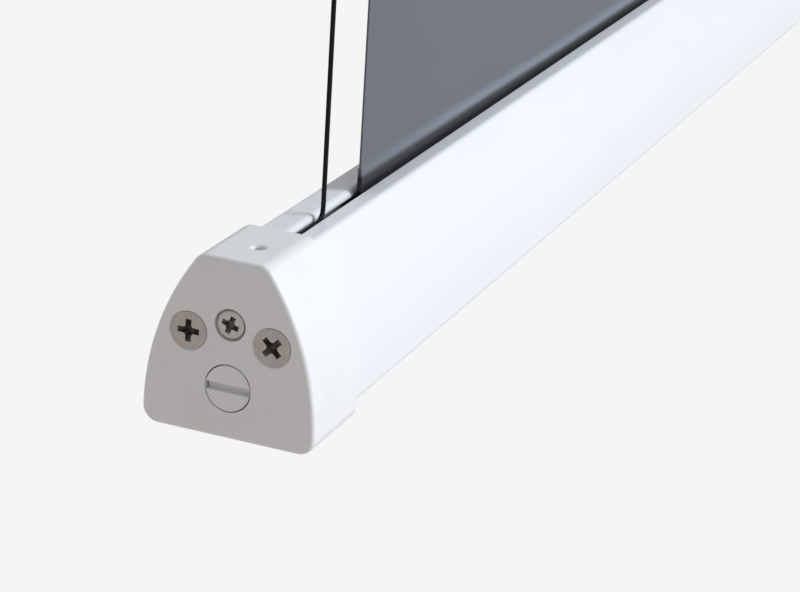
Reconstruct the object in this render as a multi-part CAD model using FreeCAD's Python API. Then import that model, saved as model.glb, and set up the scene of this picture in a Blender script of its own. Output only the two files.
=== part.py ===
import FreeCAD, Part
import math
import os

from FreeCAD import Vector

# Side-tensioned roller blind: a motorised roller in a cassette, a dark fabric, and a bottom bar
# whose end caps hold the adjusters of the two side cords.
# Millimetres. X runs along the blind, -Y is the front, +Z is up.
# The origin is the centre of the ceiling bracket holes, on the brackets' top face.

# ---------------------------------------------------------------- overall sizes
BAR_LENGTH = 1200.0          # bottom bar over both end caps
FABRIC_DROP = 1150.0         # roller axis down to the bar's lips, with the blind lowered
CASE_DEPTH = 90.0
CASE_HEIGHT = 84.0

# ---------------------------------------------------------------- clearances
RUN_GAP = 0.05               # radial, between a turning piece and its bore
FIT_GAP = 0.1                # between pieces that slide together
SEAT_GAP = 0.05              # between faces that meet
OVERCUT = 1.0                # cutters run this far past the faces they open
NEAR = 0.01                  # an edge this close to a place counts as being there

# ---------------------------------------------------------------- fabric and cords
FABRIC_THICKNESS = 0.4
FABRIC_INSET = 53.8          # bar end to fabric edge
CORD_DIAMETER = 0.95
CORD_INSET = 36.7            # bar end to cord
ROLL_GAP = 0.2               # wound fabric to the hanging fabric
WOUND_THICKNESS = 0.45
TAB_FIRST = 140.0            # lowest tab above the joint between span and hem
TAB_LAST = 204.5             # highest tab below the roller axis
TAB_COUNT = 5
TAB_THICKNESS = 0.45
TAB_LAP = 12.5               # tab welded over the fabric
TAB_HEIGHT_FABRIC = 44.0
TAB_HEIGHT_CORD = 18.0
TAB_SLEEVE_RADIUS = 1.1

# ---------------------------------------------------------------- roller
MOTOR_RADIUS = 17.5
GROOVE_SPACE = 7.5           # motor to the tube's outside, room for the groove
TUBE_RADIUS = MOTOR_RADIUS + GROOVE_SPACE
TUBE_WALL = 1.5
TUBE_BEYOND_CORD = 6.8       # tube end past the cord
GROOVE_RADIUS = 2.0
GROOVE_WALL = 1.0
GROOVE_MOUTH = 1.6
KEDER_RADIUS = 1.7
KEDER_NECK = 0.8
COLLAR_WIDTH = 16.0
COLLAR_FLANGE_THICKNESS = 2.0
COLLAR_FLANGE_RISE = 5.0
COLLAR_FLANGE_ROOM = 1.0     # flange to anything in the cassette
ANCHOR_RADIUS = 1.5
ANCHOR_HEAD_RADIUS = 2.6
ANCHOR_HEAD_HEIGHT = 1.2
ANCHOR_OFFSET = 4.7          # anchor screw inboard of the cord
WHEEL_FLANGE = 3.4

# ---------------------------------------------------------------- motor and idler
MOTOR_LENGTH = 400.0
MOTOR_HEAD_RADIUS = 23.0
MOTOR_HEAD_GAP = 2.5         # crown flange to the motor head
SHAFT_RADIUS = 5.0
SHAFT_LENGTH = 36.0
SHAFT_IN_MOTOR = 12.0
DRIVE_WHEEL_WIDTH = 20.0
CUP_DEPTH = 10.5
CUP_WALL = 3.0
BRACKET_PLATE = 2.4
BRACKET_MARGIN = 2.0         # bracket plate outside its cup
PIN_RADIUS = 4.0
PIN_IN_PLUG = 24.0
PLUG_LENGTH = 27.0
BEARING_RADIUS = 11.0
BEARING_WIDTH = 7.0
DIAL_RADIUS = 2.9
DIAL_LENGTH = 5.4
DIAL_SPACING = 16.0
DIAL_BELOW_AXIS = 20.5
DIAL_FROM_HEAD_FACE = 12.0
DIAL_HEX = 3.0               # across flats
DIAL_HEX_DEPTH = 2.5
RIVET_RADIUS = 2.0
RIVET_HEAD_RADIUS = 3.6
RIVET_HEAD_HEIGHT = 1.0
RIVET_EDGE = 1.0             # rivet head to the bracket plate's edge

# ---------------------------------------------------------------- cassette
CASE_BEYOND_BAR = 16.0       # extrusion end past the bar end
CASE_WALL = 1.8
CASE_FRONT_RADIUS = 14.0
CASE_BACK_RADIUS = 3.0
CASE_TOP = -8.0              # top wall's outer face, below the bracket face
CASE_SLOT_HALF = 9.0
ROLLER_Y = -6.0
COVER_SEAM = 28.0            # front of the middle plane
TONGUE_LENGTH = 8.0
RAIL_INSIDE = 26.0           # middle plane to a rail's leg
RAIL_WALL = 1.6
RAIL_LIP = 4.4
RAIL_TOP = -3.0
RAIL_SHORT = 16.0            # rails stop short of the extrusion's ends
PORT_RADIUS = 1.95
PORT_WALL = 1.3
PORT_SINK = 0.3              # port's wall sunk into the case wall
PORT_CLEAR = 0.5             # port to the front cover's tongue
END_PLATE = 2.0
END_SCREW_LENGTH = 16.0
END_SCREW_TURN = 25.0        # each recess is turned this much past the last
COVER_PROUD = 2.0
COVER_FACE = 2.5
COVER_SPACE = 1.5            # rivet heads stand in this gap
COVER_SLEEVE = 12.0
COVER_EDGE = 1.5
GLAND_Y = 33.0
GLAND_BORE = 3.5
GLAND_RADIUS = 5.0
GLAND_NUT_FLATS = 14.0
GLAND_NUT = 3.6
GLAND_DOME = 4.0

# ---------------------------------------------------------------- ceiling brackets
BRACKET_SPACING = 900.0
BRACKET_WIDTH = 50.0
BRACKET_HOLE_SPACING = 30.0
BRACKET_HOLE_RADIUS = 2.75
HOOK_WALL = 2.0
HOOK_GAP = 0.3
HOOK_LIP = 3.6
LOCK_HEAD_RADIUS = 2.0
LOCK_HEAD_HEIGHT = 1.5

# ---------------------------------------------------------------- bottom bar
CAP_HEIGHT = 34.7
CAP_HALF_WIDTH = 17.35
FLANK_RADIUS = 52.5
FLANK_BASE = 3.0             # height where the flanks are upright
CAP_LENGTH = 19.5
CAP_BOTTOM_ROUND = 3.2
CAP_TOP_ROUND = 3.0
CAP_EDGE = 1.0
CAP_PROUD = 1.8              # cap outside the extrusion
CAP_SHELL = 2.0
CAP_FACE = 4.0
CAP_SEAT = 15.0              # cap face to the extrusion's end
BAR_WALL = 1.4
SLOT_Y = -1.2                # slot centre, in front of the bar's middle plane
SLOT_WIDTH = 2.4
SLOT_REAR_ROUND = 1.3
SLOT_FRONT_ROUND = 0.3
LEAST_ROUND = 0.3            # least radius left on an inner outline
HEM_BORE_RADIUS = 4.1
HEM_BORE_WALL = 1.1
HEM_BORE_DROP = 5.4          # lips down to the hem bore's axis
HEM_ROD_RADIUS = 3.0
HEM_ROD_SHORT = 6.0
JOIN_RISE = 5.5              # lips up to where span and hem meet
WEB_HEIGHT = 12.2
BALLAST_HALF_WIDTH = 11.0
BALLAST_HEIGHT = 7.5
BALLAST_SHORT = 20.0

# ---------------------------------------------------------------- end cap fittings
SIDE_SCREW_INSET = 9.0       # screw axis in from the cap's widest point
SIDE_SCREW_Z = 19.6
SCREW_RADIUS = 1.9
SCREW_HEAD_RADIUS = 3.75
SCREW_SINK = 0.15            # head below the face
SCREW_LENGTH = 32.0
BOSS_RADIUS = 3.4
CROSS_LENGTH = 4.2
CROSS_WIDTH = 1.0
CROSS_DEPTH = 1.5
FRONT_SCREW_TURN = 45.0
GUIDE_SCREW_Z = 22.3
GUIDE_SCREW_RADIUS = 1.5
GUIDE_SCREW_LENGTH = 13.0
GUIDE_HEAD_RADIUS = 2.75
GUIDE_HEAD_RECESS = 3.1
GUIDE_HEAD_DEPTH = 1.4
GUIDE_CROSS_LENGTH = 3.1
GUIDE_CROSS_WIDTH = 0.8
GUIDE_SCREW_TURN = 20.0
ADJUSTER_Z = 10.0
ADJUSTER_RADIUS = 4.6
ADJUSTER_HEAD = 2.6
ADJUSTER_NECK_RADIUS = 3.6
ADJUSTER_CORE_RADIUS = 3.05
ADJUSTER_LENGTH = 13.5
ADJUSTER_SLOT = 1.7
ADJUSTER_SLOT_DEPTH = 1.3
CLIP_THICKNESS = 0.8
CLIP_GROOVE_RADIUS = 2.4
CLIP_RADIUS = 5.0
TURN_RADIUS = 3.6            # cord's centre line round the adjuster
TURN_PITCH = 1.0
TURN_COUNT = 3
CORD_IN_SLOT = 1.0           # cord's centre line below the lips
CORD_DOWN_X = 9.0            # cap face to the cord's run down to the adjuster
ENTRY_BEND = 2.9
GUIDE_BEND = 3.5
GUIDE_HALF_WIDTH = 3.2
GUIDE_BOTTOM = 18.0
PEEP_RADIUS = 1.2            # small hole in the cap's top
PEEP_X = 8.9
PEEP_Y = -0.9

# ---------------------------------------------------------------- places worked out from the sizes
BAR_HALF = BAR_LENGTH / 2
SIDE_SCREW_Y = CAP_HALF_WIDTH - SIDE_SCREW_INSET
FABRIC_HALF = BAR_HALF - FABRIC_INSET
CORD_X = BAR_HALF - CORD_INSET
CORD_RADIUS = CORD_DIAMETER / 2
TUBE_HALF = CORD_X + TUBE_BEYOND_CORD
TUBE_BORE = TUBE_RADIUS - TUBE_WALL
CASE_HALF = BAR_HALF + CASE_BEYOND_BAR
CASE_BOTTOM = CASE_TOP - CASE_HEIGHT
CASE_Y = CASE_DEPTH / 2
ROLLER_Z = CASE_TOP - CASE_HEIGHT / 2
WOUND_RADIUS = TUBE_RADIUS + SEAT_GAP + WOUND_THICKNESS
COLLAR_FLANGE_RADIUS = TUBE_RADIUS + COLLAR_FLANGE_RISE
FABRIC_Y = ROLLER_Y + WOUND_RADIUS + ROLL_GAP + FABRIC_THICKNESS / 2
WRAP_RADIUS = FABRIC_Y - ROLLER_Y
COLLAR_RADIUS = WRAP_RADIUS - CORD_RADIUS - SEAT_GAP
LIP_HEIGHT = CAP_HEIGHT - CAP_PROUD
BAR_Y = FABRIC_Y - SLOT_Y
BAR_Z = ROLLER_Z - FABRIC_DROP - LIP_HEIGHT
JOIN_Z = BAR_Z + LIP_HEIGHT + JOIN_RISE
TAB_PITCH = (FABRIC_DROP - JOIN_RISE - TAB_FIRST - TAB_LAST) / (TAB_COUNT - 1)
HEM_Z = LIP_HEIGHT - HEM_BORE_DROP
CORD_Z = LIP_HEIGHT - CORD_IN_SLOT
GROOVE_Z = ROLLER_Z + TUBE_RADIUS - TUBE_WALL / 2 - GROOVE_RADIUS + GROOVE_WALL / 2
HEAD_X = TUBE_HALF + SEAT_GAP + WHEEL_FLANGE + MOTOR_HEAD_GAP
BRACKET_X = CASE_HALF - SEAT_GAP - BRACKET_PLATE
COVER_INNER = CASE_HALF + END_PLATE + COVER_SPACE
COVER_OUTER = COVER_INNER + COVER_FACE


# ---------------------------------------------------------------- shape helpers
def box(x, y, z):
    """A box from its (low, high) pairs."""
    return Part.makeBox(x[1] - x[0], y[1] - y[0], z[1] - z[0], Vector(x[0], y[0], z[0]))


def past(pair):
    """A (low, high) pair made longer at both ends, for a cutter."""
    return pair[0] - OVERCUT, pair[1] + OVERCUT


def rod_x(x, y, z, radius):
    """A cylinder along X between the pair x."""
    return Part.makeCylinder(radius, x[1] - x[0], Vector(x[0], y, z), Vector(1, 0, 0))


def ring_x(x, y, z, outer, inner):
    """A tube along X between the pair x."""
    return rod_x(x, y, z, outer).cut(rod_x(past(x), y, z, inner))


def rod_y(x, y, z, radius):
    """A cylinder along Y between the pair y."""
    return Part.makeCylinder(radius, y[1] - y[0], Vector(x, y[0], z), Vector(0, 1, 0))


def rod_z(x, y, z, radius):
    """A cylinder along Z between the pair z."""
    return Part.makeCylinder(radius, z[1] - z[0], Vector(x, y, z[0]))


def cone_x(x, y, z, start, end):
    """A cone along X, of radius start at x[0] and end at x[1]."""
    return Part.makeCone(start, end, x[1] - x[0], Vector(x[0], y, z), Vector(1, 0, 0))


def hexagon_prism(centre, direction, length, across_flats):
    """A hexagonal bar that starts at centre and runs along direction."""
    radius = across_flats / math.sqrt(3)
    corners = [Vector(radius * math.cos(math.radians(60 * i)), radius * math.sin(math.radians(60 * i)), 0)
               for i in range(7)]
    bar = Part.Face(Part.makePolygon(corners)).extrude(Vector(0, 0, length))
    bar.Placement = FreeCAD.Placement(centre, FreeCAD.Rotation(Vector(0, 0, 1), direction))
    return bar


def rounded_prism(corners, x):
    """A prism along X from (y, z, radius) corners, with a tangent arc at each corner that has a radius."""
    edges = []
    ends = []
    for i, (y, z, radius) in enumerate(corners):
        here = Vector(x[0], y, z)
        before = Vector(x[0], *corners[i - 1][:2]) - here
        after = Vector(x[0], *corners[(i + 1) % len(corners)][:2]) - here
        before.normalize()
        after.normalize()
        if radius <= 0:
            ends.append((here, here))
            continue
        half = before.getAngle(after) / 2
        inward = before + after
        inward.normalize()
        centre = here + inward * (radius / math.sin(half))
        reach = radius / math.tan(half)
        first, last = here + before * reach, here + after * reach
        edges.append(Part.Arc(first, centre - inward * radius, last).toShape())
        ends.append((first, last))
    for i, (_, last) in enumerate(ends):
        following = ends[(i + 1) % len(ends)][0]
        if (following - last).Length > NEAR:
            edges.append(Part.makeLine(last, following))
    wire = Part.Wire(Part.__sortEdges__(edges))
    return Part.Face(wire).extrude(Vector(x[1] - x[0], 0, 0))


def fillet_where(shape, radius, test):
    """Rounds the edges whose bounding box passes the test."""
    chosen = [edge for edge in shape.Edges if test(edge.BoundBox)]
    return shape.makeFillet(radius, chosen)


def along_x(bound):
    """True for the bounding box of an edge that runs along X."""
    return bound.XLength > OVERCUT and bound.YLength < NEAR and bound.ZLength < NEAR


def union(first, *others):
    """One solid from pieces that overlap."""
    return first.multiFuse(list(others)).removeSplitter()


def mirrored(shape):
    """The other end's copy of a left-hand shape."""
    return shape.mirror(Vector(0, 0, 0), Vector(1, 0, 0))


def moved(shape, x, y, z):
    """A copy of a shape, shifted."""
    copy = shape.copy()
    copy.translate(Vector(x, y, z))
    return copy


# ---------------------------------------------------------------- nodes
os.makedirs("parts", exist_ok=True)


def save(name, *solids):
    """Writes one node's solids to parts/NAME.step."""
    shape = solids[0] if len(solids) == 1 else Part.makeCompound(list(solids))
    if not shape.isValid() or any(solid.Volume <= 0 for solid in shape.Solids):
        raise ValueError(name + " is not a valid solid")
    shape.exportStep("parts/" + name + ".step")


def save_both_ends(name, *solids):
    """Writes a left-hand node and its mirror image for the right-hand end."""
    save(name + "_left", *solids)
    save(name + "_right", *[mirrored(solid) for solid in solids])


# ---------------------------------------------------------------- cord path
def corded(points, bends, radius):
    """A tube along straight runs joined by tangent arcs; bends holds each inner point's arc radius."""
    edges = []
    start = points[0]
    for before, here, after, bend in zip(points, points[1:], points[2:], bends):
        back = before - here
        ahead = after - here
        back.normalize()
        ahead.normalize()
        half = back.getAngle(ahead) / 2
        reach = bend / math.tan(half)
        inward = back + ahead
        inward.normalize()
        middle = here + inward * (bend / math.sin(half) - bend)
        edges.append(Part.makeLine(start, here + back * reach))
        edges.append(Part.Arc(here + back * reach, middle, here + ahead * reach).toShape())
        start = here + ahead * reach
    edges.append(Part.makeLine(start, points[-1]))
    path = Part.Wire(edges)
    tangent = points[1] - points[0]
    section = Part.Wire(Part.makeCircle(radius, points[0], tangent))
    tube = path.makePipeShell([section], True, True)
    expected = math.pi * radius ** 2 * path.Length
    print("cord of %.1f mm, bend radii %s, volume %.1f mm3 for section times length %.1f mm3"
          % (path.Length, bends, tube.Volume, expected))
    return tube


# ---------------------------------------------------------------- bottom bar
def bell(inset, x):
    """The bar's bell outline, shrunk by inset, as a solid along X with its four long edges rounded."""
    reach = FLANK_RADIUS - inset
    offset = FLANK_RADIUS - CAP_HALF_WIDTH
    half = CAP_HALF_WIDTH - inset
    solid = box(x, (-half, half), (inset, CAP_HEIGHT - inset))
    for side in (-1, 1):
        solid = solid.common(rod_x(x, side * offset, FLANK_BASE, reach))
    bottom = max(CAP_BOTTOM_ROUND - inset, LEAST_ROUND)
    top = max(CAP_TOP_ROUND - inset, LEAST_ROUND)
    solid = fillet_where(solid, bottom, lambda b: along_x(b) and b.ZMax < inset + NEAR)
    return fillet_where(solid, top, lambda b: along_x(b) and b.ZMin > CAP_HEIGHT - inset - NEAR)


def in_bar(shape):
    """Moves a shape from the bar's own frame, at the middle of its base, to its place."""
    return moved(shape, 0, BAR_Y, BAR_Z)


def at_left_end(shape):
    """Moves a shape from the left cap's frame, with x measured from its outer face, to its place."""
    return moved(shape, -BAR_HALF, BAR_Y, BAR_Z)


def make_bar():
    x = (-BAR_HALF + CAP_SEAT, BAR_HALF - CAP_SEAT)
    outer = bell(CAP_PROUD, x)
    hollow = bell(CAP_PROUD + BAR_WALL, x)
    width = (-CAP_HALF_WIDTH, CAP_HALF_WIDTH)
    web = box(x, width, (WEB_HEIGHT, WEB_HEIGHT + BAR_WALL))
    hem_tube = rod_x(x, SLOT_Y, HEM_Z, HEM_BORE_RADIUS + HEM_BORE_WALL)
    inside = [web, hem_tube]
    for side in (-1, 1):
        port_y = side * SIDE_SCREW_Y
        inside.append(rod_x(x, port_y, SIDE_SCREW_Z, PORT_RADIUS + PORT_WALL))
        inside.append(box(x, sorted((port_y, side * CAP_HALF_WIDTH)),
                          (SIDE_SCREW_Z - PORT_WALL / 2, SIDE_SCREW_Z + PORT_WALL / 2)))
    bar = outer.cut(hollow)
    bar = union(bar, *[piece.common(outer) for piece in inside])
    slot_y = (SLOT_Y - SLOT_WIDTH / 2, SLOT_Y + SLOT_WIDTH / 2)
    bar = bar.cut(rod_x(x, SLOT_Y, HEM_Z, HEM_BORE_RADIUS))
    bar = bar.cut(box(x, slot_y, (HEM_Z, CAP_HEIGHT)))
    for side in (-1, 1):
        bar = bar.cut(rod_x(x, side * SIDE_SCREW_Y, SIDE_SCREW_Z, PORT_RADIUS))
    for lip_y, radius in ((slot_y[1], SLOT_REAR_ROUND), (slot_y[0], SLOT_FRONT_ROUND)):
        bar = fillet_where(bar, radius, lambda b: along_x(b) and abs(b.YMin - lip_y) < NEAR
                           and b.ZMin > LIP_HEIGHT - NEAR)
    save("bottom_bar", in_bar(bar))

    ballast = box((-BAR_HALF + BALLAST_SHORT, BAR_HALF - BALLAST_SHORT),
                  (-BALLAST_HALF_WIDTH, BALLAST_HALF_WIDTH),
                  (CAP_PROUD + BAR_WALL + FIT_GAP, CAP_PROUD + BAR_WALL + FIT_GAP + BALLAST_HEIGHT))
    save("ballast_bar", in_bar(ballast))


def make_hem():
    rod_half = FABRIC_HALF - HEM_ROD_SHORT
    save("hem_rod", in_bar(rod_x((-rod_half, rod_half), SLOT_Y, HEM_Z, HEM_ROD_RADIUS)))
    x = (-FABRIC_HALF, FABRIC_HALF)
    inner = HEM_ROD_RADIUS + FIT_GAP
    outer = inner + FABRIC_THICKNESS
    loop = rod_x(x, SLOT_Y, HEM_Z, outer)
    neck = box(x, (SLOT_Y - FABRIC_THICKNESS, SLOT_Y + FABRIC_THICKNESS), (HEM_Z, LIP_HEIGHT + JOIN_RISE))
    hem = loop.fuse(neck).cut(rod_x(past(x), SLOT_Y, HEM_Z, inner)).removeSplitter()
    save("fabric_hem", in_bar(hem))


def countersunk_screw(x, y, z, length, turn):
    """A cross-recessed countersunk screw along +X whose head is at x."""
    cone = SCREW_HEAD_RADIUS - SCREW_RADIUS
    screw = cone_x((x, x + cone), y, z, SCREW_HEAD_RADIUS, SCREW_RADIUS)
    screw = union(screw, rod_x((x + cone, x + length), y, z, SCREW_RADIUS))
    return screw.cut(cross_recess(x, y, z, CROSS_LENGTH, CROSS_WIDTH, turn))


def cross_recess(x, y, z, length, width, turn):
    """The recess of a cross-head screw whose head is at x."""
    bars = []
    for angle in (turn, turn + 90):
        bar = box((x - OVERCUT, x + CROSS_DEPTH), (y - length / 2, y + length / 2),
                  (z - width / 2, z + width / 2))
        bar.rotate(Vector(x, y, z), Vector(1, 0, 0), angle)
        bars.append(bar)
    return bars[0].fuse(bars[1])


def make_cap():
    cap = bell(0, (0, CAP_LENGTH))
    cap = fillet_where(cap, CAP_EDGE, lambda b: b.XMax < NEAR)
    cap = cap.cut(bell(CAP_PROUD - FIT_GAP, (CAP_SEAT - SEAT_GAP, CAP_LENGTH + OVERCUT)))
    chamber = bell(CAP_SHELL, (CAP_FACE, CAP_SEAT))
    for side in (-1, 1):
        chamber = chamber.cut(rod_x((CAP_FACE, CAP_SEAT), side * SIDE_SCREW_Y, SIDE_SCREW_Z, BOSS_RADIUS))
    cap = cap.cut(chamber)
    for side in (-1, 1):
        y = side * SIDE_SCREW_Y
        cap = cap.cut(rod_x((-OVERCUT, CAP_SEAT + OVERCUT), y, SIDE_SCREW_Z, SCREW_RADIUS + FIT_GAP))
        mouth = SCREW_HEAD_RADIUS + FIT_GAP + SCREW_SINK
        cap = cap.cut(cone_x((0, mouth), y, SIDE_SCREW_Z, mouth, 0))
    cap = cap.cut(rod_x((-OVERCUT, GUIDE_HEAD_DEPTH), 0, GUIDE_SCREW_Z, GUIDE_HEAD_RECESS))
    cap = cap.cut(rod_x((-OVERCUT, CAP_FACE + OVERCUT), 0, GUIDE_SCREW_Z, GUIDE_SCREW_RADIUS + FIT_GAP))
    cap = cap.cut(rod_x((-OVERCUT, ADJUSTER_HEAD + SEAT_GAP), 0, ADJUSTER_Z, ADJUSTER_RADIUS + RUN_GAP))
    cap = cap.cut(rod_x((-OVERCUT, CAP_FACE + OVERCUT), 0, ADJUSTER_Z, ADJUSTER_NECK_RADIUS + RUN_GAP))
    cap = cap.cut(rod_z(PEEP_X, PEEP_Y, past((CAP_HEIGHT - CAP_SHELL, CAP_HEIGHT)), PEEP_RADIUS))
    save_both_ends("end_cap", at_left_end(cap))


def make_cap_screws():
    side_screws = [countersunk_screw(SCREW_SINK, side * SIDE_SCREW_Y, SIDE_SCREW_Z, SCREW_LENGTH, turn)
                   for side, turn in ((-1, FRONT_SCREW_TURN), (1, 0))]
    save_both_ends("cap_screws", *[at_left_end(screw) for screw in side_screws])
    head = rod_x((SCREW_SINK, GUIDE_HEAD_DEPTH), 0, GUIDE_SCREW_Z, GUIDE_HEAD_RADIUS)
    shank = rod_x((GUIDE_HEAD_DEPTH, GUIDE_SCREW_LENGTH), 0, GUIDE_SCREW_Z, GUIDE_SCREW_RADIUS)
    recess = cross_recess(SCREW_SINK, 0, GUIDE_SCREW_Z, GUIDE_CROSS_LENGTH, GUIDE_CROSS_WIDTH,
                          GUIDE_SCREW_TURN)
    save_both_ends("guide_screw", at_left_end(union(head, shank).cut(recess)))


def make_cord_guide():
    x = (CORD_DOWN_X + CORD_RADIUS + SEAT_GAP, CAP_SEAT - SEAT_GAP)
    top = CORD_Z - CORD_RADIUS - SEAT_GAP
    guide = box(x, (-GUIDE_HALF_WIDTH, GUIDE_HALF_WIDTH), (GUIDE_BOTTOM, top))
    saddle = GUIDE_BEND - CORD_RADIUS - SEAT_GAP
    guide = fillet_where(guide, saddle, lambda b: b.YLength > NEAR and b.XMax < x[0] + NEAR
                         and b.XLength < NEAR and b.ZMin > top - NEAR)
    guide = guide.cut(rod_x(past(x), 0, GUIDE_SCREW_Z, GUIDE_SCREW_RADIUS + SEAT_GAP))
    save_both_ends("cord_guide", at_left_end(guide))


def make_adjuster():
    groove = (CAP_FACE + FIT_GAP, CAP_FACE + 2 * FIT_GAP + CLIP_THICKNESS)
    spindle = union(
        rod_x((0, ADJUSTER_HEAD), 0, ADJUSTER_Z, ADJUSTER_RADIUS),
        rod_x((0, groove[0]), 0, ADJUSTER_Z, ADJUSTER_NECK_RADIUS),
        rod_x((0, groove[1]), 0, ADJUSTER_Z, CLIP_GROOVE_RADIUS),
        rod_x((groove[1], ADJUSTER_LENGTH), 0, ADJUSTER_Z, ADJUSTER_CORE_RADIUS))
    slot = box((-OVERCUT, ADJUSTER_SLOT_DEPTH), (-ADJUSTER_RADIUS - OVERCUT, ADJUSTER_RADIUS + OVERCUT),
               (ADJUSTER_Z - ADJUSTER_SLOT / 2, ADJUSTER_Z + ADJUSTER_SLOT / 2))
    save_both_ends("tension_adjuster", at_left_end(spindle.cut(slot)))
    clip = ring_x((groove[0] + SEAT_GAP, groove[0] + SEAT_GAP + CLIP_THICKNESS), 0, ADJUSTER_Z,
                  CLIP_RADIUS, CLIP_GROOVE_RADIUS + SEAT_GAP)
    save_both_ends("adjuster_clip", at_left_end(clip))
    turns_x = [CORD_DOWN_X + TURN_PITCH * (i + 1) for i in range(TURN_COUNT)]
    turns = [Part.makeTorus(TURN_RADIUS, CORD_RADIUS, Vector(x, 0, ADJUSTER_Z), Vector(1, 0, 0))
             for x in turns_x]
    save_both_ends("cord_turns", *[at_left_end(turn) for turn in turns])


def make_cord_tail():
    """The cord's stretch inside the bar: down into the slot, along it, and down to the adjuster."""
    route = [Vector(CORD_INSET, SLOT_Y, LIP_HEIGHT + JOIN_RISE),
             Vector(CORD_INSET, SLOT_Y, CORD_Z),
             Vector(CORD_DOWN_X, SLOT_Y, CORD_Z),
             Vector(CORD_DOWN_X, -TURN_RADIUS, ADJUSTER_Z)]
    tail = corded(route, [ENTRY_BEND, GUIDE_BEND], CORD_RADIUS)
    save_both_ends("cord_tail", at_left_end(tail))


# ---------------------------------------------------------------- fabric, side cords and tabs
def make_spans():
    fabric = box((-FABRIC_HALF, FABRIC_HALF),
                 (FABRIC_Y - FABRIC_THICKNESS / 2, FABRIC_Y + FABRIC_THICKNESS / 2), (JOIN_Z, ROLLER_Z))
    save("fabric", fabric)
    save_both_ends("side_cord", rod_z(-CORD_X, FABRIC_Y, (JOIN_Z, ROLLER_Z), CORD_RADIUS))
    y = FABRIC_Y + FABRIC_THICKNESS / 2 + SEAT_GAP
    tabs = []
    for i in range(TAB_COUNT):
        z = JOIN_Z + TAB_FIRST + i * TAB_PITCH
        corners = [Vector(-FABRIC_HALF + TAB_LAP, y, z - TAB_HEIGHT_FABRIC / 2),
                   Vector(-FABRIC_HALF + TAB_LAP, y, z + TAB_HEIGHT_FABRIC / 2),
                   Vector(-CORD_X, y, z + TAB_HEIGHT_CORD / 2),
                   Vector(-CORD_X, y, z - TAB_HEIGHT_CORD / 2)]
        plate = Part.Face(Part.makePolygon(corners + corners[:1])).extrude(Vector(0, TAB_THICKNESS, 0))
        height = (z - TAB_HEIGHT_CORD / 2, z + TAB_HEIGHT_CORD / 2)
        sleeve = rod_z(-CORD_X, FABRIC_Y, height, TAB_SLEEVE_RADIUS)
        bore = rod_z(-CORD_X, FABRIC_Y, past(height), CORD_RADIUS + SEAT_GAP)
        tabs.append(union(plate, sleeve).cut(bore))
    save_both_ends("tension_tabs", *tabs)


# ---------------------------------------------------------------- roller
def keyed(shape, x):
    """Cuts the keyway that fits over the tube's groove channel."""
    return shape.cut(rod_x(past(x), ROLLER_Y, GROOVE_Z, GROOVE_RADIUS + GROOVE_WALL + FIT_GAP))


def make_roller():
    x = (-TUBE_HALF, TUBE_HALF)
    tube = ring_x(x, ROLLER_Y, ROLLER_Z, TUBE_RADIUS, TUBE_BORE)
    channel = rod_x(x, ROLLER_Y, GROOVE_Z, GROOVE_RADIUS + GROOVE_WALL)
    tube = union(tube, channel.common(rod_x(x, ROLLER_Y, ROLLER_Z, TUBE_RADIUS - TUBE_WALL / 2)))
    tube = tube.cut(rod_x(x, ROLLER_Y, GROOVE_Z, GROOVE_RADIUS))
    tube = tube.cut(box(x, (ROLLER_Y - GROOVE_MOUTH / 2, ROLLER_Y + GROOVE_MOUTH / 2),
                        (GROOVE_Z, ROLLER_Z + TUBE_RADIUS + OVERCUT)))
    anchor_x = CORD_X - ANCHOR_OFFSET
    for side in (-1, 1):
        tube = tube.cut(rod_y(side * anchor_x, past((ROLLER_Y - TUBE_RADIUS, ROLLER_Y - TUBE_BORE)),
                              ROLLER_Z, ANCHOR_RADIUS + SEAT_GAP))
    save("roller_tube", tube)

    keder_x = (-FABRIC_HALF, FABRIC_HALF)
    bead = rod_x(keder_x, ROLLER_Y, GROOVE_Z, KEDER_RADIUS)
    neck = box(keder_x, (ROLLER_Y - KEDER_NECK / 2, ROLLER_Y + KEDER_NECK / 2),
               (GROOVE_Z, ROLLER_Z + TUBE_RADIUS - FIT_GAP))
    save("fabric_keder", union(bead, neck))
    save("wound_fabric", ring_x(keder_x, ROLLER_Y, ROLLER_Z, WOUND_RADIUS, TUBE_RADIUS + SEAT_GAP))

    collar_x = (-TUBE_HALF, -TUBE_HALF + COLLAR_WIDTH)
    collar = ring_x(collar_x, ROLLER_Y, ROLLER_Z, COLLAR_RADIUS, TUBE_RADIUS + SEAT_GAP)
    flange = ring_x((collar_x[0], collar_x[0] + COLLAR_FLANGE_THICKNESS), ROLLER_Y, ROLLER_Z,
                    COLLAR_FLANGE_RADIUS, TUBE_RADIUS + SEAT_GAP)
    anchor_y = (ROLLER_Y - TUBE_RADIUS - OVERCUT, ROLLER_Y - TUBE_BORE)
    collar = union(collar, flange).cut(
        rod_y(-anchor_x, anchor_y, ROLLER_Z, ANCHOR_RADIUS + SEAT_GAP))
    save_both_ends("cord_collar", collar)
    wrap = Part.makeTorus(WRAP_RADIUS, CORD_RADIUS, Vector(-CORD_X - TURN_PITCH, ROLLER_Y, ROLLER_Z),
                          Vector(1, 0, 0))
    save_both_ends("cord_wrap", wrap)
    seat = ROLLER_Y - COLLAR_RADIUS - SEAT_GAP
    shank = rod_y(-anchor_x, (seat - FIT_GAP, ROLLER_Y - TUBE_BORE - FIT_GAP), ROLLER_Z, ANCHOR_RADIUS)
    head = rod_y(-anchor_x, (seat - ANCHOR_HEAD_HEIGHT, seat), ROLLER_Z, ANCHOR_HEAD_RADIUS)
    anchor = union(shank, head)
    save("cord_anchor_screws", anchor, mirrored(anchor))


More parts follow.
